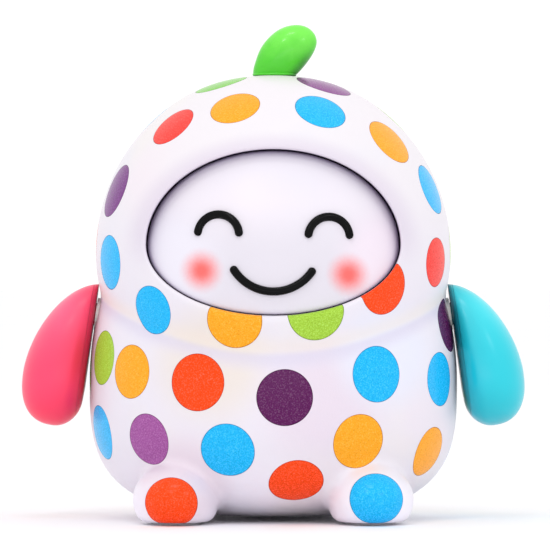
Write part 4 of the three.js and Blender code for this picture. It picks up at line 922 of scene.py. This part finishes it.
def wing_pieces(colour):
    """A wing's bulged shell and its flat inner plate with the hub, in wing space, parted by a fine seam."""
    rings, start, end = wing_rings(WING_COLUMNS, WING_ROWS)
    half_gap = WING_SEAM_GAP / 2
    shell = cut(solid(f"{colour}_wing_cover", rings, start, end), "DIFFERENCE",
                slab("inner_side", -CLEAR_OF_WING, WING_SEAM_U + half_gap))
    plate = cut(solid(f"{colour}_wing_back", rings, start, end), "DIFFERENCE",
                slab("outer_side", WING_SEAM_U - half_gap, CLEAR_OF_WING),
                slab("body_side", -CLEAR_OF_WING, WING_INNER_U))
    hub = rod("hub", HUB_RADIUS, (HUB_END_U, 0, 0), (WING_INNER_U + HUB_OVERLAP, 0, 0), plane=(1, 2))
    return shell, cut(plate, "UNION", hub)


def hang_wing(piece, side):
    """Wing space to its place: tilted about V, moved to the pivot, turned half round for the left side."""
    u, v, w = read_points(piece).T
    x = WING_PIVOT[0] + u * math.cos(WING_TILT) - w * math.sin(WING_TILT)
    z = WING_PIVOT[2] + u * math.sin(WING_TILT) + w * math.cos(WING_TILT)
    write_points(piece, np.stack([side * x, side * v, z], -1))


def closed_curve(points, steps):
    """A smooth closed curve through points: cubics whose slope at each point follows its two neighbours."""
    points = np.array(points)
    before, here, after, beyond = (np.roll(points, shift, 0)[:, None] for shift in (1, 0, -1, -2))
    share = np.linspace(0, 1, steps, endpoint=False)[None, :, None]
    curve = here + share * 0.5 * (after - before)
    curve = curve + share ** 2 * (before - 2.5 * here + 2 * after - 0.5 * beyond)
    curve = curve + share ** 3 * (1.5 * (here - after) + 0.5 * (beyond - before))
    return curve.reshape(-1, points.shape[1])


def leaf(rows=60, steps=12):
    """The leaf: its outline shrinks to two poles over an ellipse, cut off level above lip and stem."""
    polar = half_turn(rows)
    x, z = closed_curve(LEAF_OUTLINE, steps).T
    rings = np.stack([
        LEAF_MIDDLE[0] + np.sin(polar) * (x - LEAF_MIDDLE[0]),
        -LEAF_HALF_DEPTH * np.cos(polar) + 0 * x,
        LEAF_MIDDLE[1] + np.sin(polar) * (z - LEAF_MIDDLE[1]),
    ], -1)
    start = (LEAF_MIDDLE[0], -LEAF_HALF_DEPTH, LEAF_MIDDLE[1])
    end = (LEAF_MIDDLE[0], LEAF_HALF_DEPTH, LEAF_MIDDLE[1])
    below = rod("below_leaf", BELOW_LEAF_RADIUS, (0, 0, LEAF_BASE_Z), (0, 0, BELOW_LEAF_Z), plane=(0, 1))
    blade = cut(solid("leaf_blade", rings, start, end), "DIFFERENCE", below)
    rings = [
        turned_outline(reach, reach - LEAF_LIP_NARROWING, 96, (0, 1)) + (LEAF_LIP_X, 0, z)
        for reach, z in LEAF_LIP_PROFILE
    ]
    low_z, high_z = LEAF_LIP_PROFILE[0][1], LEAF_LIP_PROFILE[-1][1]
    lip = solid("lip", rings, (LEAF_LIP_X, 0, low_z), (LEAF_LIP_X, 0, high_z))
    stem = upright("stem", LEAF_STEM_HALF, LEAF_STEM_X, 0, LEAF_STEM_HEIGHTS)
    return cut(blade, "UNION", lip, stem)


def foot_pad(name, x, y, half):
    """A soft pad under a foot: its profile carried round an oval, with a shallow hollow in its underside."""
    rings = [share * turned_outline(*half, 96, (0, 1)) + (x, y, z) for share, z in PAD_PROFILE]
    return solid(name, rings, (x, y, PAD_PROFILE[0][1]), (x, y, PAD_PROFILE[-1][1]))


# Dots

# Colour, place across and up at the body's middle plane, and radius of each dot that the front shows
FRONT_DOTS = [
    ("shaded_crown_lime", -21.1, 174.1, 10.7), ("shaded_crown_mauve", 20.4, 173.6, 11.2), ("amber", -15.4, 164.5, 10.0),
    ("sky", 19.0, 163.1, 10.3), ("red", -40.4, 157.0, 9.7), ("amber", 46.8, 150.9, 10.4),
    ("sky", 63.3, 131.7, 10.3), ("violet", -63.4, 131.2, 11.0), ("sky", -65.9, 102.3, 10.8),
    ("red", 65.5, 102.3, 9.8), ("orange", 44.5, 92.6, 11.1), ("sky", -48.5, 83.2, 9.7),
    ("lime", 17.3, 82.4, 11.3), ("amber", -15.7, 78.9, 11.0), ("lime", -68.4, 64.2, 10.8),
    ("amber", -57.1, 58.6, 10.6), ("purple", 69.5, 77.2, 10.7), ("sky", 66.9, 55.6, 10.7),
    ("sky", 41.6, 57.6, 11.0), ("orange", -30.5, 54.3, 11.2), ("purple", 4.6, 48.2, 11.0),
    ("sky", -69.1, 34.1, 11.0), ("mauve", -50.2, 31.4, 10.3), ("amber", 34.3, 30.5, 10.9),
    ("sky", -18.4, 26.9, 10.8), ("amber", 62.5, 26.2, 10.4), ("orange", 9.2, 13.9, 10.8),
    ("sky", 42.3, 8.1, 11.7), ("orange", -41.6, 5.6, 11.4),
]

# Colour, turn from the front towards +X in degrees, and height of the dots that the front shows as slivers
EDGE_DOTS = [
    ("sky", -89.0, 159.6), ("lime", 88.0, 159.8), ("orange", -89.5, 110.8), ("lime", 88.5, 108.2),
    ("lime", 96.0, 49.5), ("sky", 96.0, 25.5),
]


def seen_points(places):
    """The body's points that the camera sees at places of the middle plane, along its lines of sight."""
    plane = np.array([(x, 0.0, z) for x, z in places])
    return on_rays(plane, np.array(CAMERA_PLACE) - plane, field=outside_body)


def round_points(places):
    """The body's points at given turns round its axis, in degrees from the front towards +X, and heights."""
    turn = np.radians([place[0] for place in places])
    axis = np.array([(0.0, 0.0, z) for _, z in places])
    return on_rays(axis, np.stack([np.sin(turn), -np.cos(turn), 0 * turn], -1), field=outside_body)


def back_dots():
    """Staggered rings of dots over the back and sides, in a repeating order of colours."""
    dots = []
    for row, (height, pitch, shift) in enumerate(BACK_DOT_ROWS):
        count = int(BACK_DOT_REACH / pitch)
        for step in range(-count, count + 1):
            name = BACK_DOT_COLOURS[(row * 3 + step * 2) % len(BACK_DOT_COLOURS)]
            sway = BACK_DOT_SWAY * math.sin(5 * step + row)
            dots.append((name, 180 + (step + shift) * pitch, height + sway))
    return dots


def dot_places():
    """Each dot's point on the body, its radius as a straight distance from there, and its colour.

    A dot of the back stays only where it keeps clear of all the dots before it.
    """
    points = list(seen_points([(x, z) for _, x, z, _ in FRONT_DOTS]))
    radii = [radius for *_, radius in FRONT_DOTS]
    names = [name for name, *_ in FRONT_DOTS]
    for (name, *place), sure in [(dot, True) for dot in EDGE_DOTS] + [(dot, False) for dot in back_dots()]:
        point = round_points([place])[0]
        if sure or np.linalg.norm(np.array(points) - point, axis=-1).min() > DOT_APART:
            points.append(point)
            radii.append(DOT_RADIUS)
            names.append(name)
    return np.array(points), np.array(radii), np.array([linear(DOT_COLOURS[name]) for name in names])


DOT_POINTS, DOT_RADII, DOT_PAINT = dot_places()


def keep(piece, name, kind, field, values):
    """Values kept on a piece's points, for its material."""
    piece.data.attributes.new(name, kind, "POINT").data.foreach_set(field, values.astype(np.float32).ravel())


def print_dots(piece):
    """Each point gets the distance to the nearest dot's edge, in millimetres, its colour and two places.

    Where a toe bulges out of the belly, a dot of the belly is measured from the point straight behind it.
    Only the outer skin is printed: points well below the surface keep a large distance. The place by the
    neck is how far outside the belly's egg a point lies, less how far outside the hood's: above zero on
    the hood; it places the painted highlight and painted shade at the neck. The wall depth is how far a
    point lies below the surface; it places the painted shade in recesses.
    """
    points = read_points(piece)
    behind = points.copy()
    proud = (points[:, 1] < 0) & (outside_trunk(points) > PROUD_OF_TRUNK)
    trunk = on_side(points[proud, 0], points[proud, 2], -1)
    behind[proud] = np.where(np.abs(outside_trunk(trunk))[:, None] < ON_TRUNK, trunk, points[proud])
    on_foot = outside_trunk(DOT_POINTS) > DOT_ON_FOOT
    places = np.where(on_foot[None, :, None], points[:, None], behind[:, None])
    apart = np.linalg.norm(places - DOT_POINTS[None], axis=-1) - DOT_RADII
    depth = -outside_body(points)
    nearest = apart.argmin(1)
    edge = apart[np.arange(len(points)), nearest]
    keep(piece, "dot_edge", "FLOAT", "value", np.where(depth > PRINT_DEPTH, NO_DOT, edge))
    paint = np.concatenate([DOT_PAINT[nearest], np.ones((len(points), 1))], -1)
    keep(piece, "dot_paint", "FLOAT_COLOR", "color", paint)
    keep(piece, "neck_place", "FLOAT", "value", outside_belly(points) - outside_hood(points))
    keep(piece, "wall_depth", "FLOAT", "value", depth)


# Materials

class Nodes:
    """A material's node tree, with short calls for the nodes that the finishes share."""

    def __init__(self, name):
        """A new material with its shader."""
        self.material = bpy.data.materials.new(name)
        self.material.use_nodes = True
        self.tree = self.material.node_tree
        self.shader = self.tree.nodes["Principled BSDF"]

    def add(self, kind, **values):
        """A new node of a kind, with its settings."""
        node = self.tree.nodes.new(kind)
        for name, value in values.items():
            setattr(node, name, value)
        return node

    def link(self, source, target):
        """Joins an output to an input."""
        self.tree.links.new(source, target)

    def place(self):
        """A place on the piece, in metres."""
        return self.add("ShaderNodeTexCoord").outputs["Object"]

    def axes(self):
        """The X, Y and Z of a place on the piece."""
        split = self.add("ShaderNodeSeparateXYZ")
        self.link(self.place(), split.inputs[0])
        return split.outputs

    def kept(self, name, output="Fac"):
        """A value that was kept on the piece's points."""
        return self.add("ShaderNodeAttribute", attribute_name=name).outputs[output]

    def noise(self, scale, detail=2.0):
        """Noise on Object coordinates; the scale is in waves a metre."""
        node = self.add("ShaderNodeTexNoise")
        self.link(self.place(), node.inputs["Vector"])
        node.inputs["Scale"].default_value = scale
        node.inputs["Detail"].default_value = detail
        return node.outputs["Fac"]

    def ranged(self, value, low, high, start, end, smooth=False):
        """A value between a low and a high one, carried in proportion to between a start and an end."""
        node = self.add("ShaderNodeMapRange")
        if smooth:
            node.interpolation_type = "SMOOTHSTEP"
        self.link(value, node.inputs["Value"])
        for name, number in (("From Min", low), ("From Max", high), ("To Min", start), ("To Max", end)):
            node.inputs[name].default_value = number
        return node.outputs["Result"]

    def eased(self, value, low, high, end=1.0):
        """A share that eases from zero at one value to its end at the other."""
        return self.ranged(value, low, high, 0, end, True)

    def mixed(self, factor, first, second, mode="MIX"):
        """Two colours mixed; each may be a socket or a plain colour, and the factor a socket or a number."""
        node = self.add("ShaderNodeMix", data_type="RGBA", blend_type=mode)
        for socket, value in ((node.inputs[0], factor), (node.inputs[6], first), (node.inputs[7], second)):
            if isinstance(value, bpy.types.NodeSocket):
                self.link(value, socket)
            elif isinstance(value, (int, float)):
                socket.default_value = value
            else:
                socket.default_value = (*value, 1.0)
        return node.outputs[2]

    def over(self, share, colour, rgb):
        """A colour with an 8-bit one laid over it by a share."""
        return self.mixed(share, colour, linear(rgb))

    def maths(self, operation, first, second=0.0):
        """One step of arithmetic on sockets or numbers."""
        node = self.add("ShaderNodeMath", operation=operation)
        for socket, value in zip(node.inputs, (first, second)):
            if isinstance(value, bpy.types.NodeSocket):
                self.link(value, socket)
            else:
                socket.default_value = value
        return node.outputs[0]

    def bump(self, height, distance):
        """A relief: a height from 0 to 1 over a distance in metres."""
        node = self.add("ShaderNodeBump")
        self.link(height, node.inputs["Height"])
        node.inputs["Distance"].default_value = distance
        self.link(node.outputs["Normal"], self.shader.inputs["Normal"])

    def colour(self, socket):
        """The surface's own colour."""
        self.link(socket, self.shader.inputs["Base Color"])

    def roughness(self, socket):
        """The surface's own roughness."""
        self.link(socket, self.shader.inputs["Roughness"])

    def moulded_skin(self, low, high, grain=FINE_GRAIN):
        """A gloss that drifts between two roughnesses, and a mould's grain of a height in metres."""
        self.roughness(self.ranged(self.noise(70.0, 3.0), 0.2, 0.8, low, high))
        self.bump(self.noise(1400.0), grain)

    def set(self, **values):
        """Whole-surface numbers, on the shader's own sockets."""
        for name, value in values.items():
            self.shader.inputs[name.replace("_", " ")].default_value = value


def face_reach(nodes, place):
    """How far out a place of the X-Z plane lies in the face opening's oval: 1 on its rim, more outside."""
    level = nodes.maths("SUBTRACT", place["Z"], FACE_Z * MM)
    rise, drop = nodes.maths("MAXIMUM", level, 0.0), nodes.maths("MINIMUM", level, 0.0)
    total = 0.0
    for reach, half in ((place["X"], FACE_HALF_WIDTH), (rise, FACE_RISE), (drop, FACE_DROP)):
        share = nodes.maths("ABSOLUTE", nodes.maths("DIVIDE", reach, half * MM))
        total = nodes.maths("ADD", nodes.maths("POWER", share, 2.0), total)
    return nodes.maths("SQRT", total)


def distance(nodes, across, up):
    """The length of a step across and up: the root of the sum of their squares."""
    squares = nodes.maths("ADD", nodes.maths("POWER", across, 2.0), nodes.maths("POWER", up, 2.0))
    return nodes.maths("SQRT", squares)


def tinted(nodes, place, colour, tints):
    """A colour under soft round tints, each full within a third of its radius from its place on X and Z."""
    for x, z, radius, rgb in tints:
        across, up = nodes.maths("SUBTRACT", place["X"], x * MM), nodes.maths("SUBTRACT", place["Z"], z * MM)
        share = nodes.eased(distance(nodes, across, up), radius * MM, radius * MM / 3)
        colour = nodes.over(share, colour, rgb)
    return colour


def pearl_white(nodes):
    """Pearly white: drifts, soft tints; painted highlight and shade at the neck, by the face and in recesses.
    """
    place = nodes.axes()
    height = place["Z"]
    low = nodes.over(nodes.eased(height, 0.004, 0.03), linear(SOLE_WHITE), BELLY_WHITE)
    white = nodes.over(nodes.eased(height, 0.08, 0.15), low, HOOD_WHITE)
    for scale, start, end, most, rgb in SUIT_DRIFTS:
        white = nodes.over(nodes.eased(nodes.noise(scale), start, end, most), white, rgb)
    neck = nodes.kept("neck_place")
    # Painted light and shade at the neck: a cream painted highlight on the hood just above the crease, lilac
    # painted shade below it
    above = nodes.maths("MULTIPLY", nodes.eased(neck, 0.0, 1.6, 0.4), nodes.eased(neck, 5.0, 1.8))
    below = nodes.maths("MULTIPLY", nodes.eased(neck, -3.5, -0.4, 0.62), nodes.eased(neck, 1.2, -0.2))
    highlit_neck = nodes.over(above, tinted(nodes, place, white, SUIT_TINTS), NECK_HIGHLIGHT_WARM)
    shaded_neck = nodes.over(below, highlit_neck, NECK_SHADE_LILAC)
    # Painted shade: lilac round the oval of the face opening, on X and Z only, above a height
    rim_shade_share = nodes.maths("MULTIPLY", nodes.eased(face_reach(nodes, place), 1.22, 1.02, 0.6),
                          nodes.eased(height, 0.095, 0.115))
    rim_shaded = nodes.over(rim_shade_share, shaded_neck, FACE_RIM_SHADE_LILAC)
    # Painted shade: violet the further a point lies below the surface, in the opening's collar, the holes and
    # the shell's inside
    return nodes.over(nodes.eased(nodes.kept("wall_depth"), 1.2, 3.2, 0.9), rim_shaded, RECESS_SHADE_VIOLET)


def suit_material():
    """Satin pearl plastic with printed dots: grainy glitter ink, a fine dark edge and the print's step."""
    nodes = Nodes("suit_pearl_print")
    edge, paint = nodes.kept("dot_edge"), nodes.kept("dot_paint", "Color")
    inside = nodes.ranged(edge, 0.04, -0.04, 0, 1)
    grain = nodes.noise(1900.0, 1.0)
    sparkle = nodes.mixed(nodes.ranged(grain, 0.52, 0.76, 0.0, 0.2), paint, paint, "ADD")
    glitter = nodes.mixed(nodes.ranged(grain, 0.52, 0.72, 0.0, 0.055), sparkle, (1.0, 1.0, 1.0))
    shaded = nodes.mixed(nodes.ranged(grain, 0.5, 0.26, 0.0, 0.4), glitter, (0.45, 0.45, 0.45), "MULTIPLY")
    outline = nodes.maths("MULTIPLY", nodes.ranged(edge, -0.4, -0.16, 0, 1, True), 0.6)
    ink = nodes.mixed(outline, shaded, (0.35, 0.3, 0.35), "MULTIPLY")
    nodes.colour(nodes.mixed(inside, pearl_white(nodes), ink))
    nodes.roughness(nodes.mixed(inside, nodes.ranged(nodes.noise(60.0), 0, 1, 0.3, 0.38),
                                nodes.ranged(grain, 0.2, 0.8, 0.15, 0.26)))
    step = nodes.ranged(edge, 0.12, -0.3, 0, 1, True)
    height = nodes.maths("ADD", step, nodes.maths("MULTIPLY", nodes.noise(1500.0), 0.1))
    nodes.bump(height, 0.0003)
    nodes.set(Coat_Weight=0.0, Specular_IOR_Level=0.16)
    return nodes.material


def face_material():
    """Satin white, painted shade below, the rim's painted shadow in lilac above, cheeks airbrushed to fade
    from their middles.
    """
    nodes = Nodes("face_airbrushed_white")
    place = nodes.axes()
    from_middle = nodes.maths("ABSOLUTE", nodes.maths("SUBTRACT", place["X"], CHEEK_SHIFT * MM))
    across = nodes.maths("SUBTRACT", from_middle, CHEEK_X * MM)
    tilt = nodes.maths("MULTIPLY", place["X"], CHEEK_SLOPE)
    up = nodes.maths("SUBTRACT", nodes.maths("ADD", place["Z"], tilt), CHEEK_Z * MM)
    uneven = nodes.ranged(nodes.noise(900.0, 3.0), 0.3, 0.7, -0.0002, 0.0002)
    mist = nodes.maths("ADD", distance(nodes, across, up), uneven)
    blush = nodes.ranged(mist, CHEEK_CORE * MM, CHEEK_FADE * MM, 1.0, 0.0, True)
    drift = nodes.eased(nodes.noise(17.0), 0.4, 0.7)
    bright = nodes.over(drift, linear(FACE_WHITE), FACE_DRIFT_WHITE)
    level = nodes.maths("SUBTRACT", place["Z"], FACE_Z * MM)
    # Painted shade: the face turns darker below its middle, where it curves down and away
    low = nodes.over(nodes.eased(level, 0.018, -0.004), bright, FACE_LOW_SHADE_WHITE)
    white = tinted(nodes, place, low, FACE_TINTS)
    out = face_reach(nodes, place)
    # Painted shadow of the rim: lilac towards the upper edge of the opening, darkest right at the edge
    high = nodes.ranged(level, -0.026, 0.004, 0.1, 1, True)
    light_rim_shadow = nodes.maths("MULTIPLY", high, nodes.eased(out, 0.88, 0.98, 0.3))
    dark_rim_shadow = nodes.maths("MULTIPLY", high, nodes.eased(out, 0.95, 0.99, 0.5))
    shaded = nodes.over(dark_rim_shadow, nodes.over(light_rim_shadow, white, FACE_RIM_SHADOW_LILAC), FACE_EDGE_SHADOW_LILAC)
    nodes.colour(nodes.over(blush, shaded, CHEEK_RED))
    nodes.roughness(nodes.ranged(nodes.noise(60.0), 0, 1, 0.34, 0.42))
    nodes.bump(nodes.noise(1300.0), FINE_GRAIN)
    nodes.set(Coat_Weight=0.0, Specular_IOR_Level=0.3)
    return nodes.material


def moulded_material(name, rgb, light_rgb, roughness, coat, grain=FINE_GRAIN, scale=28.0, specular=0.5):
    """Moulded plastic: a colour that drifts to a lighter one, a gloss that varies, a finely rough skin."""
    nodes = Nodes(name)
    nodes.colour(nodes.over(nodes.eased(nodes.noise(scale), 0.3, 0.75, 0.6), linear(rgb), light_rgb))
    nodes.moulded_skin(roughness - 0.04, roughness + 0.05, grain)
    nodes.set(Coat_Weight=coat, Coat_Roughness=0.08, Specular_IOR_Level=specular)
    return nodes.material


def wing_material(name, deep, middle, light, inner, coat):
    """Satin plastic, painted light at the top and painted shade at the tip and towards the edge that hangs by
    the body.
    """
    nodes = Nodes(name)
    place = nodes.axes()
    rise = nodes.maths("ADD", place["Z"], nodes.ranged(nodes.noise(30.0), 0.2, 0.8, -0.006, 0.006))
    # Painted light from above: the low tone at the tip, the middle tone, then the lighter tone on top
    low = nodes.over(nodes.eased(rise, 0.03, 0.055), linear(deep), middle)
    high = nodes.over(nodes.eased(rise, 0.06, 0.095), low, light)
    # Painted shade towards the edge by the body, and at that edge the body's painted shadow in the inner
    # colour
    slope = nodes.maths("MULTIPLY", place["Z"], WING_EDGE_SLOPE)
    out = nodes.maths("ADD", nodes.maths("ABSOLUTE", place["X"]), slope)
    shade_share = nodes.eased(out, (WING_EDGE_X + WING_SHADE_REACH) * MM, WING_EDGE_X * MM, 0.6)
    edge = nodes.eased(out, (WING_EDGE_X + WING_EDGE_SHADOW_REACH) * MM, WING_EDGE_X * MM, 0.8)
    nodes.colour(nodes.over(edge, nodes.over(shade_share, high, deep), inner))
    nodes.moulded_skin(0.34, 0.42)
    nodes.set(Coat_Weight=coat, Coat_Roughness=0.2, Specular_IOR_Level=0.35)
    return nodes.material


def leaf_material():
    """Glossy green, lighter towards the top in painted light, and in painted shade along the lower right
    edge.
    """
    nodes = Nodes("leaf_green_gloss")
    place = nodes.axes()
    x, z = place["X"], place["Z"]
    rise = nodes.maths("ADD", z, nodes.ranged(nodes.noise(110.0), 0.25, 0.75, -0.004, 0.004))
    # Painted light: the green turns lighter towards the top
    green = nodes.over(nodes.eased(rise, 0.181, 0.197), linear(LEAF_LOW_GREEN), LEAF_LIT_TOP_GREEN)
    right = nodes.maths("SUBTRACT", nodes.maths("MULTIPLY", x, 0.8), nodes.maths("MULTIPLY", z, 0.6))
    # Painted shade: dark green along the lower right edge, only on its lower part
    edge = nodes.maths("MULTIPLY", nodes.eased(right, -0.103, -0.0989, 0.8), nodes.eased(z, 0.189, 0.181))
    nodes.colour(nodes.over(edge, green, LEAF_EDGE_SHADE_GREEN))
    nodes.moulded_skin(0.26, 0.34)
    nodes.set(Coat_Weight=0.2, Coat_Roughness=0.1, Specular_IOR_Level=0.35)
    return nodes.material


def metal_material(name, rgb, roughness):
    """Plated metal: fine scratches stretched along one axis vary its gloss and its height."""
    nodes = Nodes(name)
    stretch = nodes.add("ShaderNodeMapping")
    stretch.inputs["Scale"].default_value = (1.0, 6.0, 1.0)
    nodes.link(nodes.place(), stretch.inputs["Vector"])
    scratches = nodes.add("ShaderNodeTexNoise")
    scratches.inputs["Scale"].default_value = 800.0
    nodes.link(stretch.outputs["Vector"], scratches.inputs["Vector"])
    worn = nodes.ranged(scratches.outputs["Fac"], 0.3, 0.7, 0, 0.3)
    nodes.colour(nodes.over(worn, linear(rgb), WORN_METAL))
    nodes.roughness(nodes.ranged(scratches.outputs["Fac"], 0.2, 0.8, roughness - 0.06, roughness + 0.1))
    nodes.bump(scratches.outputs["Fac"], 0.00001)
    nodes.set(Metallic=1.0)
    return nodes.material


def slot_finishes():
    """A finish for each material slot of the record."""
    finishes = {slot: moulded_material(*finish) for slot, *finish in MOULDED_FINISHES}
    finishes.update({slot: wing_material(*finish) for slot, *finish in WING_FINISHES})
    finishes["gloss_black"] = moulded_material("gloss_black", (2, 2, 3), (5, 5, 6), 0.22, 0.0, specular=0.12)
    finishes["steel"] = metal_material("plated_steel", (188, 190, 196), 0.28)
    finishes["leaf_green"] = leaf_material()
    finishes["pearl_shell"] = suit_material()
    finishes["face_white"] = face_material()
    return finishes


# Camera, light and floor

def make_camera():
    """A level camera before the figure; its lens gives the picture's width at the body's middle plane."""
    data = bpy.data.cameras.new("camera")
    data.sensor_width = 36.0
    data.lens = data.sensor_width * -CAMERA_PLACE[1] / PICTURE_WIDTH
    data.clip_end = 100.0
    camera = bpy.data.objects.new("camera", data)
    camera.location = [value * MM for value in CAMERA_PLACE]
    camera.rotation_euler = (math.pi / 2, 0, 0)
    bpy.context.scene.collection.objects.link(camera)
    bpy.context.scene.camera = camera


def softbox(name, place, width, height, power):
    """A rectangular light at a place in metres, turned to the figure's middle."""
    data = bpy.data.lights.new(name, "AREA")
    data.shape = "RECTANGLE"
    data.size, data.size_y = width, height
    data.energy = power
    light = bpy.data.objects.new(name, data)
    light.location = place
    light.rotation_euler = (Vector(SOFTBOX_AIM) - Vector(place)).to_track_quat("-Z", "Y").to_euler()
    bpy.context.scene.collection.objects.link(light)


def make_studio():
    """Three softboxes above, a low one in front, a white room and a pale floor, shown without a film look."""
    bpy.context.scene.view_settings.view_transform = "Standard"
    for row in SOFTBOXES:
        softbox(*row)
    world = bpy.data.worlds.new("white_room")
    world.use_nodes = True
    background = world.node_tree.nodes["Background"]
    background.inputs["Color"].default_value = (1.0, 1.0, 1.0, 1.0)
    background.inputs["Strength"].default_value = ROOM_STRENGTH
    bpy.context.scene.world = world
    floor = upright("floor", (FLOOR_RADIUS, FLOOR_RADIUS), 0, 0, (0, -FLOOR_DEPTH))
    floor.data.materials.append(
        moulded_material("floor_white", (244, 244, 246), (247, 247, 248), 0.7, 0.0, 0.00001, 3.0))


# The figure

def build():
    """Every node's finish, then each new piece with its finish, body, slot and nodes, then the studio."""
    make_camera()
    finishes = slot_finishes()
    slots = {part["node"]: part["material_slot"] for part in frame["record"]["subparts"]}
    for name, node in NODES.items():
        node.data.materials.clear()
        node.data.materials.append(finishes[slots[name]])

    for piece, body, node in (
            (front_body(), "body", "front_shell"),
            (rear_body(), "body", "rear_shell"),
            (battery_door(), "rear_door", "battery_door")):
        print_dots(piece)
        finish_piece(piece, finishes, body, "pearl_shell", [node])
    finish_piece(face(), finishes, "body", "face_white", ["face_panel"])
    for name, path in FACE_BARS.items():
        finish_piece(bar(f"{name}_bar", path, BAR_RADIUS), finishes, "body", "gloss_black", [name])
    for colour, side in (("pink", -1), ("teal", 1)):
        shell, plate = wing_pieces(colour)
        for piece, node in ((shell, f"{colour}_wing_shell"), (plate, f"{colour}_wing_plate")):
            hang_wing(piece, side)
            finish_piece(piece, finishes, f"{colour}_wing", f"wing_{colour}", [node])
    finish_piece(leaf(), finishes, "leaf_button", "leaf_green", ["leaf"])
    for end, foot, half in (("front", TOE, TOE_PAD), ("rear", HEEL, HEEL_PAD)):
        for side, side_name in ((-1, "left"), (1, "right")):
            pad = foot_pad(f"pad_{end}_{side_name}", side * foot[0][0], foot[0][1], half)
            finish_piece(pad, finishes, "body", "pad_rubber", [f"foot_pad_{end}_{side_name}"])
    make_studio()


build()
